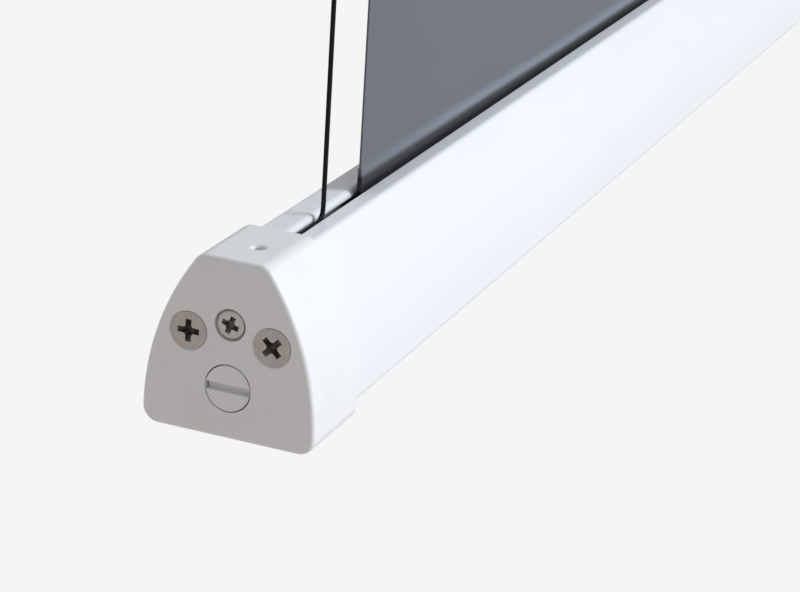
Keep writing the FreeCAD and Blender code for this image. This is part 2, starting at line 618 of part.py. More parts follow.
def make_drive():
    """The tubular motor, fixed, and the two wheels that carry the tube round it."""
    wheel_radius = TUBE_BORE - SEAT_GAP
    crown_x = (TUBE_HALF - COLLAR_WIDTH, TUBE_HALF + SEAT_GAP)
    crown = union(rod_x(crown_x, ROLLER_Y, ROLLER_Z, wheel_radius),
                  rod_x((crown_x[1], crown_x[1] + WHEEL_FLANGE), ROLLER_Y, ROLLER_Z, TUBE_RADIUS))
    crown = crown.cut(rod_x((crown_x[0] - OVERCUT, HEAD_X), ROLLER_Y, ROLLER_Z, MOTOR_RADIUS + RUN_GAP))
    crown = crown.cut(rod_x((crown_x[0] - OVERCUT, crown_x[1]), ROLLER_Y, GROOVE_Z,
                            GROOVE_RADIUS + GROOVE_WALL + FIT_GAP))
    save("motor_crown", crown)

    motor_x = (HEAD_X - MOTOR_LENGTH, HEAD_X)
    motor = rod_x(motor_x, ROLLER_Y, ROLLER_Z, MOTOR_RADIUS)
    socket = (motor_x[0] - OVERCUT, motor_x[0] + SHAFT_IN_MOTOR + RUN_GAP)
    save("motor_tube", motor.cut(rod_x(socket, ROLLER_Y, ROLLER_Z, SHAFT_RADIUS + RUN_GAP)))
    shaft_x = (motor_x[0] + SHAFT_IN_MOTOR - SHAFT_LENGTH, motor_x[0] + SHAFT_IN_MOTOR)
    save("motor_shaft", rod_x(shaft_x, ROLLER_Y, ROLLER_Z, SHAFT_RADIUS))
    wheel_x = (shaft_x[0] + FIT_GAP, shaft_x[0] + FIT_GAP + DRIVE_WHEEL_WIDTH)
    wheel = ring_x(wheel_x, ROLLER_Y, ROLLER_Z, wheel_radius, SHAFT_RADIUS + SEAT_GAP)
    save("drive_wheel", keyed(wheel, wheel_x))

    head_x = (HEAD_X, BRACKET_X - FIT_GAP)
    head = rod_x(head_x, ROLLER_Y, ROLLER_Z, MOTOR_HEAD_RADIUS)
    dial_x = HEAD_X + DIAL_FROM_HEAD_FACE
    dial_z = (ROLLER_Z - DIAL_BELOW_AXIS, ROLLER_Z - DIAL_BELOW_AXIS + DIAL_LENGTH)
    for side, name in ((-1, "limit_dial_up"), (1, "limit_dial_down")):
        dial_y = ROLLER_Y + side * DIAL_SPACING / 2
        head = head.cut(rod_z(dial_x, dial_y, (ROLLER_Z - MOTOR_HEAD_RADIUS, dial_z[1] + SEAT_GAP),
                              DIAL_RADIUS + RUN_GAP))
        socket = hexagon_prism(Vector(dial_x, dial_y, dial_z[0] - OVERCUT), Vector(0, 0, 1),
                               DIAL_HEX_DEPTH + OVERCUT, DIAL_HEX)
        save(name, rod_z(dial_x, dial_y, dial_z, DIAL_RADIUS).cut(socket))
    save("motor_head", head)


def make_idler():
    flange_x = (-TUBE_HALF - SEAT_GAP - WHEEL_FLANGE, -TUBE_HALF - SEAT_GAP)
    body_x = (flange_x[1], -TUBE_HALF + PLUG_LENGTH)
    plug = union(keyed(rod_x(body_x, ROLLER_Y, ROLLER_Z, TUBE_BORE - SEAT_GAP), body_x),
                 rod_x(flange_x, ROLLER_Y, ROLLER_Z, TUBE_RADIUS))
    bore_x = past((flange_x[0], body_x[1]))
    plug = plug.cut(rod_x(bore_x, ROLLER_Y, ROLLER_Z, PIN_RADIUS + SEAT_GAP))
    save("idler_plug", plug)
    cup_x = (-BRACKET_X, -BRACKET_X + CUP_DEPTH)
    bearing_x = (cup_x[0] + FIT_GAP, cup_x[0] + FIT_GAP + BEARING_WIDTH)
    pin_x = (bearing_x[0] + FIT_GAP, -TUBE_HALF + PIN_IN_PLUG)
    save("idler_pin", rod_x(pin_x, ROLLER_Y, ROLLER_Z, PIN_RADIUS))
    save("idler_bearing", ring_x(bearing_x, ROLLER_Y, ROLLER_Z, BEARING_RADIUS, PIN_RADIUS + RUN_GAP))
    return cup_x


# ---------------------------------------------------------------- cassette
def case_outline(grow, x):
    """The cassette's outline, grown by grow, as a solid along X."""
    front = -CASE_Y - grow
    back = CASE_Y + grow
    top = CASE_TOP + grow
    bottom = CASE_BOTTOM - grow
    front_round = CASE_FRONT_RADIUS + grow
    back_round = CASE_BACK_RADIUS + grow
    return rounded_prism([(front, bottom, front_round), (back, bottom, back_round),
                          (back, top, back_round), (front, top, front_round)], x)


def screw_ports():
    """Centres of the cassette's screw ports: three in the housing, the last in the front cover."""
    inset = CASE_WALL + PORT_RADIUS + PORT_WALL - PORT_SINK
    return [(CASE_Y - inset, CASE_TOP - inset), (CASE_Y - inset, CASE_BOTTOM + inset),
            (-COVER_SEAM + TONGUE_LENGTH + PORT_RADIUS + PORT_WALL + PORT_CLEAR, CASE_TOP - inset),
            (-COVER_SEAM, CASE_BOTTOM + inset)]


def make_cassette():
    x = (-CASE_HALF, CASE_HALF)
    shell = case_outline(0, x).cut(case_outline(-CASE_WALL, x))
    ports = [rod_x(x, y, z, PORT_RADIUS + PORT_WALL) for y, z in screw_ports()]
    slot_y = (FABRIC_Y - CASE_SLOT_HALF, FABRIC_Y + CASE_SLOT_HALF)
    shell = shell.cut(box(x, slot_y, (CASE_BOTTOM - OVERCUT, CASE_BOTTOM + CASE_WALL + OVERCUT)))
    seam_y = -COVER_SEAM
    beyond = CASE_Y + CASE_DEPTH
    floor_z = CASE_BOTTOM + CASE_WALL + 1
    front_zone = box(x, (-beyond, seam_y), (CASE_BOTTOM - OVERCUT, CASE_TOP + OVERCUT)).fuse(
        box(x, (-beyond, slot_y[0] + OVERCUT), (CASE_BOTTOM - OVERCUT, floor_z)))
    outer = case_outline(0, x)

    housing = shell.cut(front_zone)
    rails = []
    rail_x = (x[0] + RAIL_SHORT, x[1] - RAIL_SHORT)
    for side in (-1, 1):
        leg = sorted((side * RAIL_INSIDE, side * (RAIL_INSIDE + RAIL_WALL)))
        lip = sorted((side * RAIL_INSIDE, side * (RAIL_INSIDE + RAIL_WALL + RAIL_LIP)))
        rails.append(box(rail_x, leg, (CASE_TOP - CASE_WALL / 2, RAIL_TOP)))
        rails.append(box(rail_x, lip, (RAIL_TOP - RAIL_WALL, RAIL_TOP)))
    housing = union(housing, *ports[:3], *rails)
    for y, z in screw_ports()[:3]:
        housing = housing.cut(rod_x(x, y, z, PORT_RADIUS))
    flange_room = rod_x((-TUBE_HALF - COLLAR_FLANGE_ROOM,
                         -TUBE_HALF + COLLAR_FLANGE_THICKNESS + COLLAR_FLANGE_ROOM),
                        ROLLER_Y, ROLLER_Z, COLLAR_FLANGE_RADIUS + COLLAR_FLANGE_ROOM)
    save("cassette_housing", housing.cut(flange_room).cut(mirrored(flange_room)))

    cover = shell.common(front_zone)
    under = CASE_TOP - CASE_WALL
    cover = cover.cut(box(x, (seam_y - FIT_GAP, seam_y + OVERCUT), past((under, CASE_TOP))))
    root_y = seam_y - CASE_WALL - OVERCUT
    root = box(x, (root_y, seam_y - FIT_GAP), (under - FIT_GAP - CASE_WALL, under + CASE_WALL / 2))
    tongue = box(x, (root_y, seam_y + TONGUE_LENGTH), (under - FIT_GAP - CASE_WALL, under - FIT_GAP))
    cover = union(cover, root.common(outer), tongue.common(outer), ports[3])
    y, z = screw_ports()[3]
    cover = cover.cut(rod_x(x, y, z, PORT_RADIUS))
    save("front_cover", cover)


def rivet_places():
    """The half width of the square bracket plates and their rivets' (y, z) centres."""
    half_plate = MOTOR_HEAD_RADIUS + CUP_WALL + BRACKET_MARGIN
    reach = half_plate - RIVET_HEAD_RADIUS - RIVET_EDGE
    return half_plate, [(ROLLER_Y + side * reach, ROLLER_Z + lift * reach)
                        for side in (-1, 1) for lift in (-1, 1)]


def make_case_ends():
    """End plates, end covers and their screws; the right-hand end is made first and mirrored."""
    plate = case_outline(0, (CASE_HALF + SEAT_GAP, CASE_HALF + END_PLATE))
    cover = case_outline(COVER_PROUD, (CASE_HALF - COVER_SLEEVE, COVER_OUTER))
    cover = fillet_where(cover, COVER_EDGE, lambda b: b.XMin > COVER_OUTER - NEAR)
    pocket = case_outline(FIT_GAP, (CASE_HALF - COVER_SLEEVE - OVERCUT, COVER_INNER))
    for y, z in screw_ports():
        pocket = pocket.cut(rod_x((CASE_HALF + END_PLATE + SEAT_GAP, COVER_INNER), y, z, BOSS_RADIUS))
    cover = cover.cut(pocket)
    through = past((CASE_HALF, COVER_OUTER))
    mouth = SCREW_HEAD_RADIUS + FIT_GAP + SCREW_SINK
    screws = []
    for i, (y, z) in enumerate(screw_ports()):
        hole = rod_x(through, y, z, SCREW_RADIUS + FIT_GAP)
        plate = plate.cut(hole)
        cover = cover.cut(hole).cut(cone_x((COVER_OUTER - mouth, COVER_OUTER), y, z, 0, mouth))
        screws.append(countersunk_screw(-COVER_OUTER + SCREW_SINK, y, z, END_SCREW_LENGTH, END_SCREW_TURN * i))
    for y, z in rivet_places()[1]:
        plate = plate.cut(rod_x(through, y, z, RIVET_RADIUS + SEAT_GAP))
    gland_hole = rod_x(through, GLAND_Y, ROLLER_Z, GLAND_RADIUS + FIT_GAP)
    save("end_plate_left", mirrored(plate))
    save("end_cover_left", mirrored(cover))
    save("end_plate_right", plate.cut(gland_hole))
    save("end_cover_right", cover.cut(gland_hole))
    save_both_ends("end_screws", *screws)


def make_drive_brackets(idler_cup):
    """The brackets that hold the motor's head and the idler's bearing, and the rivets behind them."""
    half_plate, rivets_at = rivet_places()
    motor_cup = (BRACKET_X - CUP_DEPTH, BRACKET_X)
    plate = box((BRACKET_X, BRACKET_X + BRACKET_PLATE), (ROLLER_Y - half_plate, ROLLER_Y + half_plate),
                (ROLLER_Z - half_plate, ROLLER_Z + half_plate))
    stem = (BRACKET_X - SEAT_GAP, CASE_HALF + END_PLATE + SEAT_GAP)
    rivets = []
    for y, z in rivets_at:
        plate = plate.cut(rod_x(past(stem), y, z, RIVET_RADIUS + SEAT_GAP))
        rivets.append(union(rod_x(stem, y, z, RIVET_RADIUS),
                            rod_x((stem[0] - RIVET_HEAD_HEIGHT, stem[0]), y, z, RIVET_HEAD_RADIUS),
                            rod_x((stem[1], stem[1] + RIVET_HEAD_HEIGHT), y, z, RIVET_HEAD_RADIUS)))
    for y, z in screw_ports():
        plate = plate.cut(rod_x(past(stem), y, z, PORT_RADIUS + PORT_WALL + FIT_GAP))
    save("bracket_rivets_right", *rivets)
    save("bracket_rivets_left", *[mirrored(rivet) for rivet in rivets])
    head_bore = MOTOR_HEAD_RADIUS + FIT_GAP
    save("motor_bracket", union(plate, ring_x(motor_cup, ROLLER_Y, ROLLER_Z, head_bore + CUP_WALL, head_bore)))
    bearing_bore = BEARING_RADIUS + SEAT_GAP
    save("idler_bracket", union(mirrored(plate), ring_x(idler_cup, ROLLER_Y, ROLLER_Z,
                                                        bearing_bore + CUP_WALL, bearing_bore)))


def make_gland():
    """The nylon gland the power lead passes through at the right-hand end."""
    nut_x = CASE_HALF - SEAT_GAP - GLAND_NUT
    dome_x = (COVER_OUTER + SEAT_GAP, COVER_OUTER + SEAT_GAP + GLAND_DOME)
    gland = union(rod_x((nut_x, dome_x[1]), GLAND_Y, ROLLER_Z, GLAND_RADIUS),
                  hexagon_prism(Vector(nut_x, GLAND_Y, ROLLER_Z), Vector(1, 0, 0), GLAND_NUT, GLAND_NUT_FLATS),
                  cone_x(dome_x, GLAND_Y, ROLLER_Z, GLAND_NUT_FLATS / 2, GLAND_RADIUS))
    save("power_inlet_gland", gland.cut(rod_x(past((nut_x, dome_x[1])), GLAND_Y, ROLLER_Z, GLAND_BORE)))


def make_ceiling_brackets():
    x = (-BRACKET_WIDTH / 2, BRACKET_WIDTH / 2)
    hook_inner = RAIL_INSIDE + RAIL_WALL + RAIL_LIP + HOOK_GAP
    hook_outer = hook_inner + HOOK_WALL
    plate_bottom = RAIL_TOP + HOOK_GAP
    lip_top = RAIL_TOP - RAIL_WALL - HOOK_GAP
    pieces = [box(x, (-hook_outer, hook_outer), (plate_bottom, 0))]
    for side in (-1, 1):
        wall = sorted((side * hook_inner, side * hook_outer))
        lip = sorted((side * (hook_inner - HOOK_LIP), side * hook_outer))
        pieces.append(box(x, wall, (lip_top - HOOK_WALL / 2, 0)))
        pieces.append(box(x, lip, (lip_top - HOOK_WALL / 2, lip_top)))
    bracket = union(*pieces)
    for side in (-1, 1):
        bracket = bracket.cut(
            rod_z(0, side * BRACKET_HOLE_SPACING / 2, past((plate_bottom, 0)), BRACKET_HOLE_RADIUS))
    screw_y = (hook_inner - HOOK_GAP + FIT_GAP, hook_outer + SEAT_GAP)
    lock_z = RAIL_TOP - RAIL_WALL / 2
    bracket = bracket.cut(rod_y(0, past((hook_inner, hook_outer)), lock_z, RAIL_WALL / 2 + SEAT_GAP))
    lock = union(rod_y(0, screw_y, lock_z, RAIL_WALL / 2),
                 rod_y(0, (screw_y[1], screw_y[1] + LOCK_HEAD_HEIGHT), lock_z, LOCK_HEAD_RADIUS))
    locks = []
    for side, name in ((-1, "left"), (1, "right")):
        save("ceiling_bracket_" + name, moved(bracket, side * BRACKET_SPACING / 2, 0, 0))
        locks.append(moved(lock, side * BRACKET_SPACING / 2, 0, 0))
    save("bracket_lock_screws", *locks)


make_bar()
make_hem()
make_cap()
make_cap_screws()
make_cord_guide()
make_adjuster()
make_cord_tail()
make_spans()
make_roller()
make_drive()
make_drive_brackets(make_idler())
make_case_ends()
make_gland()
make_cassette()
make_ceiling_brackets()
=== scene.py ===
"""A side-tensioned roller blind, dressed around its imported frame.

Everything is in metres and in the frame's own axes: X runs along the blind, -Y is the front and +Z is
up, from the centre of the ceiling bracket holes.
"""
import logging
import math
from collections.abc import Callable, Iterable, Sequence
from dataclasses import dataclass, replace
from enum import Enum

import bmesh
import bpy
from mathutils import Matrix, Quaternion, Vector


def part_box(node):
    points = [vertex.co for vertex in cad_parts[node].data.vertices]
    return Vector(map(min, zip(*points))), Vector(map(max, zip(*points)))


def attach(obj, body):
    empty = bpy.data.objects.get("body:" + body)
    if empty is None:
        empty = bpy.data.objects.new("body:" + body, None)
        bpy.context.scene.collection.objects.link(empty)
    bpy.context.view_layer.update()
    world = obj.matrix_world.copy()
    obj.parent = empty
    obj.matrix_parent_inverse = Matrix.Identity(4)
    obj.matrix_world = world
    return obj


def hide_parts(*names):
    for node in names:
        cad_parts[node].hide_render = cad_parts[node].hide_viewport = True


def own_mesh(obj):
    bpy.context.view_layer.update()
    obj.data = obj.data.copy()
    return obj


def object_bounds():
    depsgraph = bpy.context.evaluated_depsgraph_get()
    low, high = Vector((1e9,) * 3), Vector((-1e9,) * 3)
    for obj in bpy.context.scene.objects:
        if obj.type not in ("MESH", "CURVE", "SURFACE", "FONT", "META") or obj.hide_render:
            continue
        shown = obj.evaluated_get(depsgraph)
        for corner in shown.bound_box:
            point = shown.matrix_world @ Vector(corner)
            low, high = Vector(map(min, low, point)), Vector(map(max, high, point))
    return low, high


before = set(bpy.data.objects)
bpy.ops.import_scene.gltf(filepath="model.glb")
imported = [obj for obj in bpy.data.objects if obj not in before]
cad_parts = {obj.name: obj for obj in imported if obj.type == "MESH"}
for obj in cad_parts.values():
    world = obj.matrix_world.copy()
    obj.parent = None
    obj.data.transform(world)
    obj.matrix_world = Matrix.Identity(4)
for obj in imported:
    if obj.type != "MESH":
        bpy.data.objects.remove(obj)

CAD_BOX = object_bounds()
LOG = logging.getLogger("roller_blind")
MM = 0.001
SMOOTH_UNDER = math.radians(32)
WELD = 1e-6

Grid = list[list[Vector]]
Colour = tuple[float, float, float]
Node = bpy.types.Node
Output = bpy.types.NodeSocket


# -------------------------------------------------------------------------------- names
class End(Enum):
    """The two ends of the blind; the value is the sign of x there."""

    LEFT = -1
    RIGHT = 1

    def named(self, stem: str) -> str:
        """The name of this end's copy of a node or piece."""
        return f"{stem}_{self.name.lower()}"

    def outer(self, low: Vector, high: Vector) -> float:
        """The x of a box's face that looks out at this end."""
        return low.x if self is End.LEFT else high.x


class Body(str, Enum):
    """The bodies that pieces ride on."""

    HEAD = "head"
    ROLLER = "roller"
    RAIL = "bottom_rail"


class Look(Enum):
    """The finishes that pieces wear; the value is the finish's name."""

    WHITE_PAINT = "white_paint"
    WHITE_PLASTIC = "white_plastic"
    # painted shade: darker steel for the screws' cross recesses
    ZINC_STEEL = "zinc_steel"
    SCREW_STEEL = "screw_steel"
    NICKEL_STEEL = "nickel_steel"
    RECESS_SHADE_STEEL = "recess_shade_steel"
    ROLLER_ALUMINIUM = "roller_aluminium"
    MOTOR_STEEL = "motor_steel"
    BLACK_PLASTIC = "black_plastic"
    DIAL_PLASTIC = "dial_plastic"
    SCREEN_FABRIC = "screen_fabric"
    HEM_FILM = "hem_film"
    CLEAR_TAB = "clear_tab"
    BLACK_CORD = "black_cord"


class Joint(str, Enum):
    """The name of the bottom bar's lift joint; nothing in this script uses it."""

    LIFT = "bar_lift"


# -------------------------------------------------------------------------------- shader effects
class NodeGraph:
    """Adds nodes to one shader tree and joins them up."""

    def __init__(self, tree: bpy.types.NodeTree) -> None:
        """Takes the tree that the nodes go in."""
        self.tree = tree
        self.placed = 0

    def add(self, kind: str, inputs: dict | None = None, **settings: object) -> Node:
        """Adds one node.

        Args:
            kind: The node's Blender type name.
            inputs: Values or other nodes' outputs for its sockets, by socket name or number.
            **settings: Properties of the node itself.

        Returns:
            The new node.
        """
        node = self.tree.nodes.new(kind)
        node.location = (200 * (self.placed % 8), -260 * (self.placed // 8))
        self.placed += 1
        for name, value in settings.items():
            setattr(node, name, value)
        for key, value in (inputs or {}).items():
            self.feed(node.inputs[key], value)
        return node

    def feed(self, socket: bpy.types.NodeSocket, value: object) -> None:
        """Sets a socket, or links it when the value is another node's output.

        Args:
            socket: The socket.
            value: A plain value or an output.
        """
        if isinstance(value, bpy.types.NodeSocket):
            self.tree.links.new(value, socket)
        else:
            socket.default_value = value

    def calc(self, operation: str, *values: object, clamp: bool = False) -> Output:
        """The result of a Math node."""
        node = self.add("ShaderNodeMath", dict(enumerate(values)), operation=operation, use_clamp=clamp)
        return node.outputs[0]

    def vector(self, operation: str, *values: object) -> Output:
        """The result of a Vector Math node; a dot product's is its value."""
        node = self.add("ShaderNodeVectorMath", dict(enumerate(values)), operation=operation)
        return node.outputs["Value" if operation == "DOT_PRODUCT" else "Vector"]

    def remap(self, value: Output, low: float, high: float, to_low: float, to_high: float) -> Output:
        """A value moved from one range to another, held at the ends."""
        sockets = {"Value": value, "From Min": low, "From Max": high, "To Min": to_low, "To Max": to_high}
        return self.add("ShaderNodeMapRange", sockets, clamp=True).outputs["Result"]

    def mix(self, share: object, first: object, second: object) -> Output:
        """A colour part of the way from the first to the second.

        Args:
            share: How far along, from 0 to 1.
            first: The colour at 0.
            second: The colour at 1.

        Returns:
            The mixed colour.
        """
        node = self.add("ShaderNodeMix", data_type="RGBA", clamp_factor=True)
        for name, value in (("Factor", share), ("A", first), ("B", second)):
            kind = "VALUE" if name == "Factor" else "RGBA"
            socket = next(s for s in node.inputs if s.name == name and s.type == kind)
            self.feed(socket, (*value, 1.0) if isinstance(value, tuple) and len(value) == 3 else value)
        return next(s for s in node.outputs if s.type == "RGBA")

    def place(self) -> Output:
        """The point on the piece, in metres."""
        return self.add("ShaderNodeTexCoord").outputs["Object"]

    def noise(self, where: Output, scale: object, detail: float = 3.0, rough: float = 0.55) -> Output:
        """Soft noise from 0 to 1."""
        sockets = {"Vector": where, "Scale": scale, "Detail": detail, "Roughness": rough}
        return self.add("ShaderNodeTexNoise", sockets).outputs[0]


class ShaderEffects:
    """The node groups that several finishes share, each built once."""

    def __init__(self) -> None:
        """Starts with no groups."""
        self.groups: dict[str, bpy.types.NodeTree] = {}

    def place_in(self, graph: NodeGraph, name: str, **values: object) -> dict[str, Output]:
        """Puts a group in a material.

        Args:
            graph: The material's graph.
            name: The group's name, which is also the name of the method that builds it.
            **values: The group's inputs, with _ for each space.

        Returns:
            The group's outputs by name.
        """
        if name not in self.groups:
            self.groups[name] = getattr(self, name)()
        node = graph.add("ShaderNodeGroup", node_tree=self.groups[name])
        for key, value in values.items():
            graph.feed(node.inputs[key.replace("_", " ")], value)
        return {output.name: output for output in node.outputs}

    @staticmethod
    def begin(name: str, inputs: dict[str, object], outputs: Sequence[str]) -> tuple[NodeGraph, dict, Node]:
        """Makes an empty group.

        Args:
            name: The group's name.
            inputs: Each input's default; one with three numbers is a vector.
            outputs: The names of its outputs, which are all values.

        Returns:
            The group's graph, its inputs as outputs to link from, and its output node.
        """
        tree = bpy.data.node_groups.new(name, "ShaderNodeTree")
        for key, value in inputs.items():
            kind = "NodeSocketVector" if isinstance(value, tuple) else "NodeSocketFloat"
            tree.interface.new_socket(key, in_out="INPUT", socket_type=kind).default_value = value
        for key in outputs:
            tree.interface.new_socket(key, in_out="OUTPUT", socket_type="NodeSocketFloat")
        graph = NodeGraph(tree)
        entry = graph.add("NodeGroupInput")
        return graph, {output.name: output for output in entry.outputs}, graph.add("NodeGroupOutput")

    def surface_grain(self) -> bpy.types.NodeTree:
        """Fine relief and slow drifts of tone; Stretch below 1 along an axis draws the grain out that way."""
        inputs = {"Grain Size": 0.001, "Drift Size": 0.05, "Stretch": (1.0, 1.0, 1.0)}
        graph, given, out = self.begin("surface_grain", inputs, ("Relief", "Drift"))
        where = graph.vector("MULTIPLY", graph.place(), given["Stretch"])
        graph.feed(out.inputs["Relief"], graph.noise(where, graph.calc("DIVIDE", 1.0, given["Grain Size"])))
        drift = graph.noise(where, graph.calc("DIVIDE", 1.0, given["Drift Size"]), 2.0)
        graph.feed(out.inputs["Drift"], graph.remap(drift, 0.3, 0.7, 0.0, 1.0))
        return graph.tree

    def edge_wear(self) -> bpy.types.NodeTree:
        """A mask that is 1 where an outer or inner edge has been rubbed."""
        graph, given, out = self.begin("edge_wear", {"Radius": 0.0006, "Amount": 1.0}, ("Mask",))
        soft = graph.add("ShaderNodeBevel", {"Radius": given["Radius"]}, samples=6).outputs[0]
        turn = graph.vector("DOT_PRODUCT", soft, graph.add("ShaderNodeNewGeometry").outputs["Normal"])
        edge = graph.remap(graph.calc("SUBTRACT", 1.0, turn), 0.02, 0.16, 0.0, 1.0)
        patch = graph.remap(graph.noise(graph.place(), 420.0), 0.35, 0.65, 0.15, 1.0)
        worn = graph.calc("MULTIPLY", graph.calc("MULTIPLY", edge, patch), given["Amount"], clamp=True)
        graph.feed(out.inputs["Mask"], worn)
        return graph.tree

    def settled_dust(self) -> bpy.types.NodeTree:
        """A mask that is 1 where dust lies, on faces that look up."""
        graph, given, out = self.begin("settled_dust", {"Amount": 0.3}, ("Mask",))
        normal = graph.add("ShaderNodeSeparateXYZ", {0: graph.add("ShaderNodeNewGeometry").outputs["Normal"]})
        upward = graph.remap(normal.outputs["Z"], 0.55, 1.0, 0.0, 1.0)
        where = graph.place()
        patch = graph.calc("MULTIPLY", graph.remap(graph.noise(where, 38.0, 4.0), 0.35, 0.75, 0.2, 1.0),
                           graph.remap(graph.noise(where, 2400.0, 1.0), 0.35, 0.7, 0.35, 1.0))
        dust = graph.calc("MULTIPLY", graph.calc("MULTIPLY", upward, patch), given["Amount"], clamp=True)
        graph.feed(out.inputs["Mask"], dust)
        return graph.tree

    def handling_marks(self) -> bpy.types.NodeTree:
        """A mask of faint smears left by hands and packing."""
        graph, given, out = self.begin("handling_marks", {"Mark Size": 0.03, "Amount": 0.5}, ("Mask",))
        scale = graph.calc("DIVIDE", 1.0, given["Mark Size"])
        sockets = {"Vector": graph.place(), "Scale": scale, "Detail": 5.0, "Roughness": 0.6,
                   "Distortion": 1.4}
        smear = graph.add("ShaderNodeTexNoise", sockets).outputs[0]
        mask = graph.calc("MULTIPLY", graph.remap(smear, 0.52, 0.72, 0.0, 1.0), given["Amount"], clamp=True)
        graph.feed(out.inputs["Mask"], mask)
        return graph.tree

    def zinc_spangle(self) -> bpy.types.NodeTree:
        """The patchwork of crystals on a zinc coat."""
        graph, given, out = self.begin("zinc_spangle", {"Crystal Size": 0.006}, ("Tone",))
        sockets = {"Vector": graph.place(), "Scale": graph.calc("DIVIDE", 1.0, given["Crystal Size"])}
        cells = graph.add("ShaderNodeTexVoronoi", sockets, feature="F1")
        tone = graph.add("ShaderNodeSeparateColor", {0: cells.outputs["Color"]}).outputs[0]
        graph.feed(out.inputs["Tone"], tone)
        return graph.tree

    def film_emboss(self) -> bpy.types.NodeTree:
        """The fine pillowed grid rolled into a coated film, with a mask for painted shade in its furrows."""
        graph, given, out = self.begin("film_emboss", {"Pitch": 0.0005}, ("Relief", "Furrow Shade"))
        parts = graph.add("ShaderNodeSeparateXYZ", {0: graph.place()})
        turns = graph.calc("DIVIDE", math.tau, given["Pitch"])
        across = graph.calc("SINE", graph.calc("MULTIPLY", parts.outputs["X"], turns))
        down = graph.calc("SINE", graph.calc("MULTIPLY", parts.outputs["Z"], turns))
        relief = graph.calc("MULTIPLY_ADD", graph.calc("ADD", across, down), 0.25, 0.5)
        graph.feed(out.inputs["Relief"], relief)
        # mask for painted shade in the grid's furrows
        graph.feed(out.inputs["Furrow Shade"], graph.remap(relief, 0.0, 0.3, 1.0, 0.0))
        return graph.tree

    def braided_strands(self) -> bpy.types.NodeTree:
        """Strands that cross both ways round a cord, whose map runs along in metres and round from 0 to 1."""
        inputs = {"Pitch": 0.0012, "Strands": 4.0}
        graph, given, out = self.begin("braided_strands", inputs, ("Relief", "Gap"))
        parts = graph.add("ShaderNodeSeparateXYZ", {0: graph.add("ShaderNodeUVMap").outputs["UV"]})
        along = graph.calc("DIVIDE", parts.outputs["X"], given["Pitch"])
        round_it = graph.calc("MULTIPLY", parts.outputs["Y"], given["Strands"])
        rows = []
        for operation in ("ADD", "SUBTRACT"):
            phase = graph.calc("MULTIPLY", graph.calc(operation, along, round_it), math.pi)
            rows.append(graph.calc("ABSOLUTE", graph.calc("SINE", phase)))
        relief = graph.calc("MULTIPLY", rows[0], rows[1])
        graph.feed(out.inputs["Relief"], graph.calc("POWER", relief, 0.5))
        # mask for painted shade in the gaps between strands
        graph.feed(out.inputs["Gap"], graph.remap(relief, 0.0, 0.25, 1.0, 0.0))
        return graph.tree


# -------------------------------------------------------------------------------- finishes
@dataclass(frozen=True)
class Finish:
    """A surface finish. Each kind wires its own look into the shader."""

    slot: Look
    colour: Colour
    roughness: float

    def material(self, effects: ShaderEffects) -> bpy.types.Material:
        """Builds the material.

        Args:
            effects: The shared node groups.

        Returns:
            The material, named after the slot.
        """
        material = bpy.data.materials.new(f"{self.slot.value}_finish")
        material.use_nodes = True
        material.node_tree.nodes.clear()
        graph = NodeGraph(material.node_tree)
        shader = graph.add("ShaderNodeBsdfPrincipled")
        shader.inputs["Base Color"].default_value = (*self.colour, 1.0)
        shader.inputs["Roughness"].default_value = self.roughness
        self.wire(graph, shader, effects)
        graph.add("ShaderNodeOutputMaterial", {"Surface": shader.outputs[0]})
        return material

    def wire(self, graph: NodeGraph, shader: Node, effects: ShaderEffects) -> None:
        """Adds the finish's own detail to the shader."""
        raise NotImplementedError(self.slot.value)

    def shade(self, share: float) -> Colour:
        """The finish's colour, darkened or lightened by a share."""
        return tuple(min(1.0, channel * share) for channel in self.colour)

    @staticmethod
    def bump(graph: NodeGraph, shader: Node, relief: Output, depth: float, strength: float = 1.0) -> None:
        """Feeds the shader's normal from a relief of 0 to 1, depth metres high."""
        sockets = {"Height": relief, "Distance": depth, "Strength": strength}
        graph.feed(shader.inputs["Normal"], graph.add("ShaderNodeBump", sockets).outputs[0])

    def vary_roughness(self, graph: NodeGraph, shader: Node, mask: Output, change: float) -> None:
        """Moves the roughness by up to change where the mask is 1."""
        graph.feed(shader.inputs["Roughness"], graph.calc("MULTIPLY_ADD", mask, change, self.roughness))


@dataclass(frozen=True)
class PowderCoat(Finish):
    """Satin powder coat on aluminium: faint orange peel, rubbed edges, a little dust."""

    peel_size: float = 0.0011
    peel_depth: float = 0.00003

    def wire(self, graph: NodeGraph, shader: Node, effects: ShaderEffects) -> None:
        """Adds peel, wear, dust and marks.

        Args:
            graph: The material's graph.
            shader: Its Principled shader.
            effects: The shared node groups.
        """
        grain = effects.place_in(graph, "surface_grain", Grain_Size=self.peel_size, Drift_Size=0.09)
        wear = effects.place_in(graph, "edge_wear", Radius=0.0005, Amount=0.5)["Mask"]
        dust = effects.place_in(graph, "settled_dust", Amount=0.10)["Mask"]
        marks = effects.place_in(graph, "handling_marks", Mark_Size=0.035, Amount=0.6)["Mask"]
        coat = graph.mix(grain["Drift"], self.shade(0.975), self.colour)
        coat = graph.mix(wear, coat, self.shade(1.06))
        graph.feed(shader.inputs["Base Color"], graph.mix(dust, coat, (0.52, 0.50, 0.46)))
        self.vary_roughness(graph, shader, graph.calc("ADD", marks, dust), 0.12)
        self.bump(graph, shader, grain["Relief"], self.peel_depth)
        shader.inputs["Coat Weight"].default_value = 0.25
        shader.inputs["Coat Roughness"].default_value = 0.30


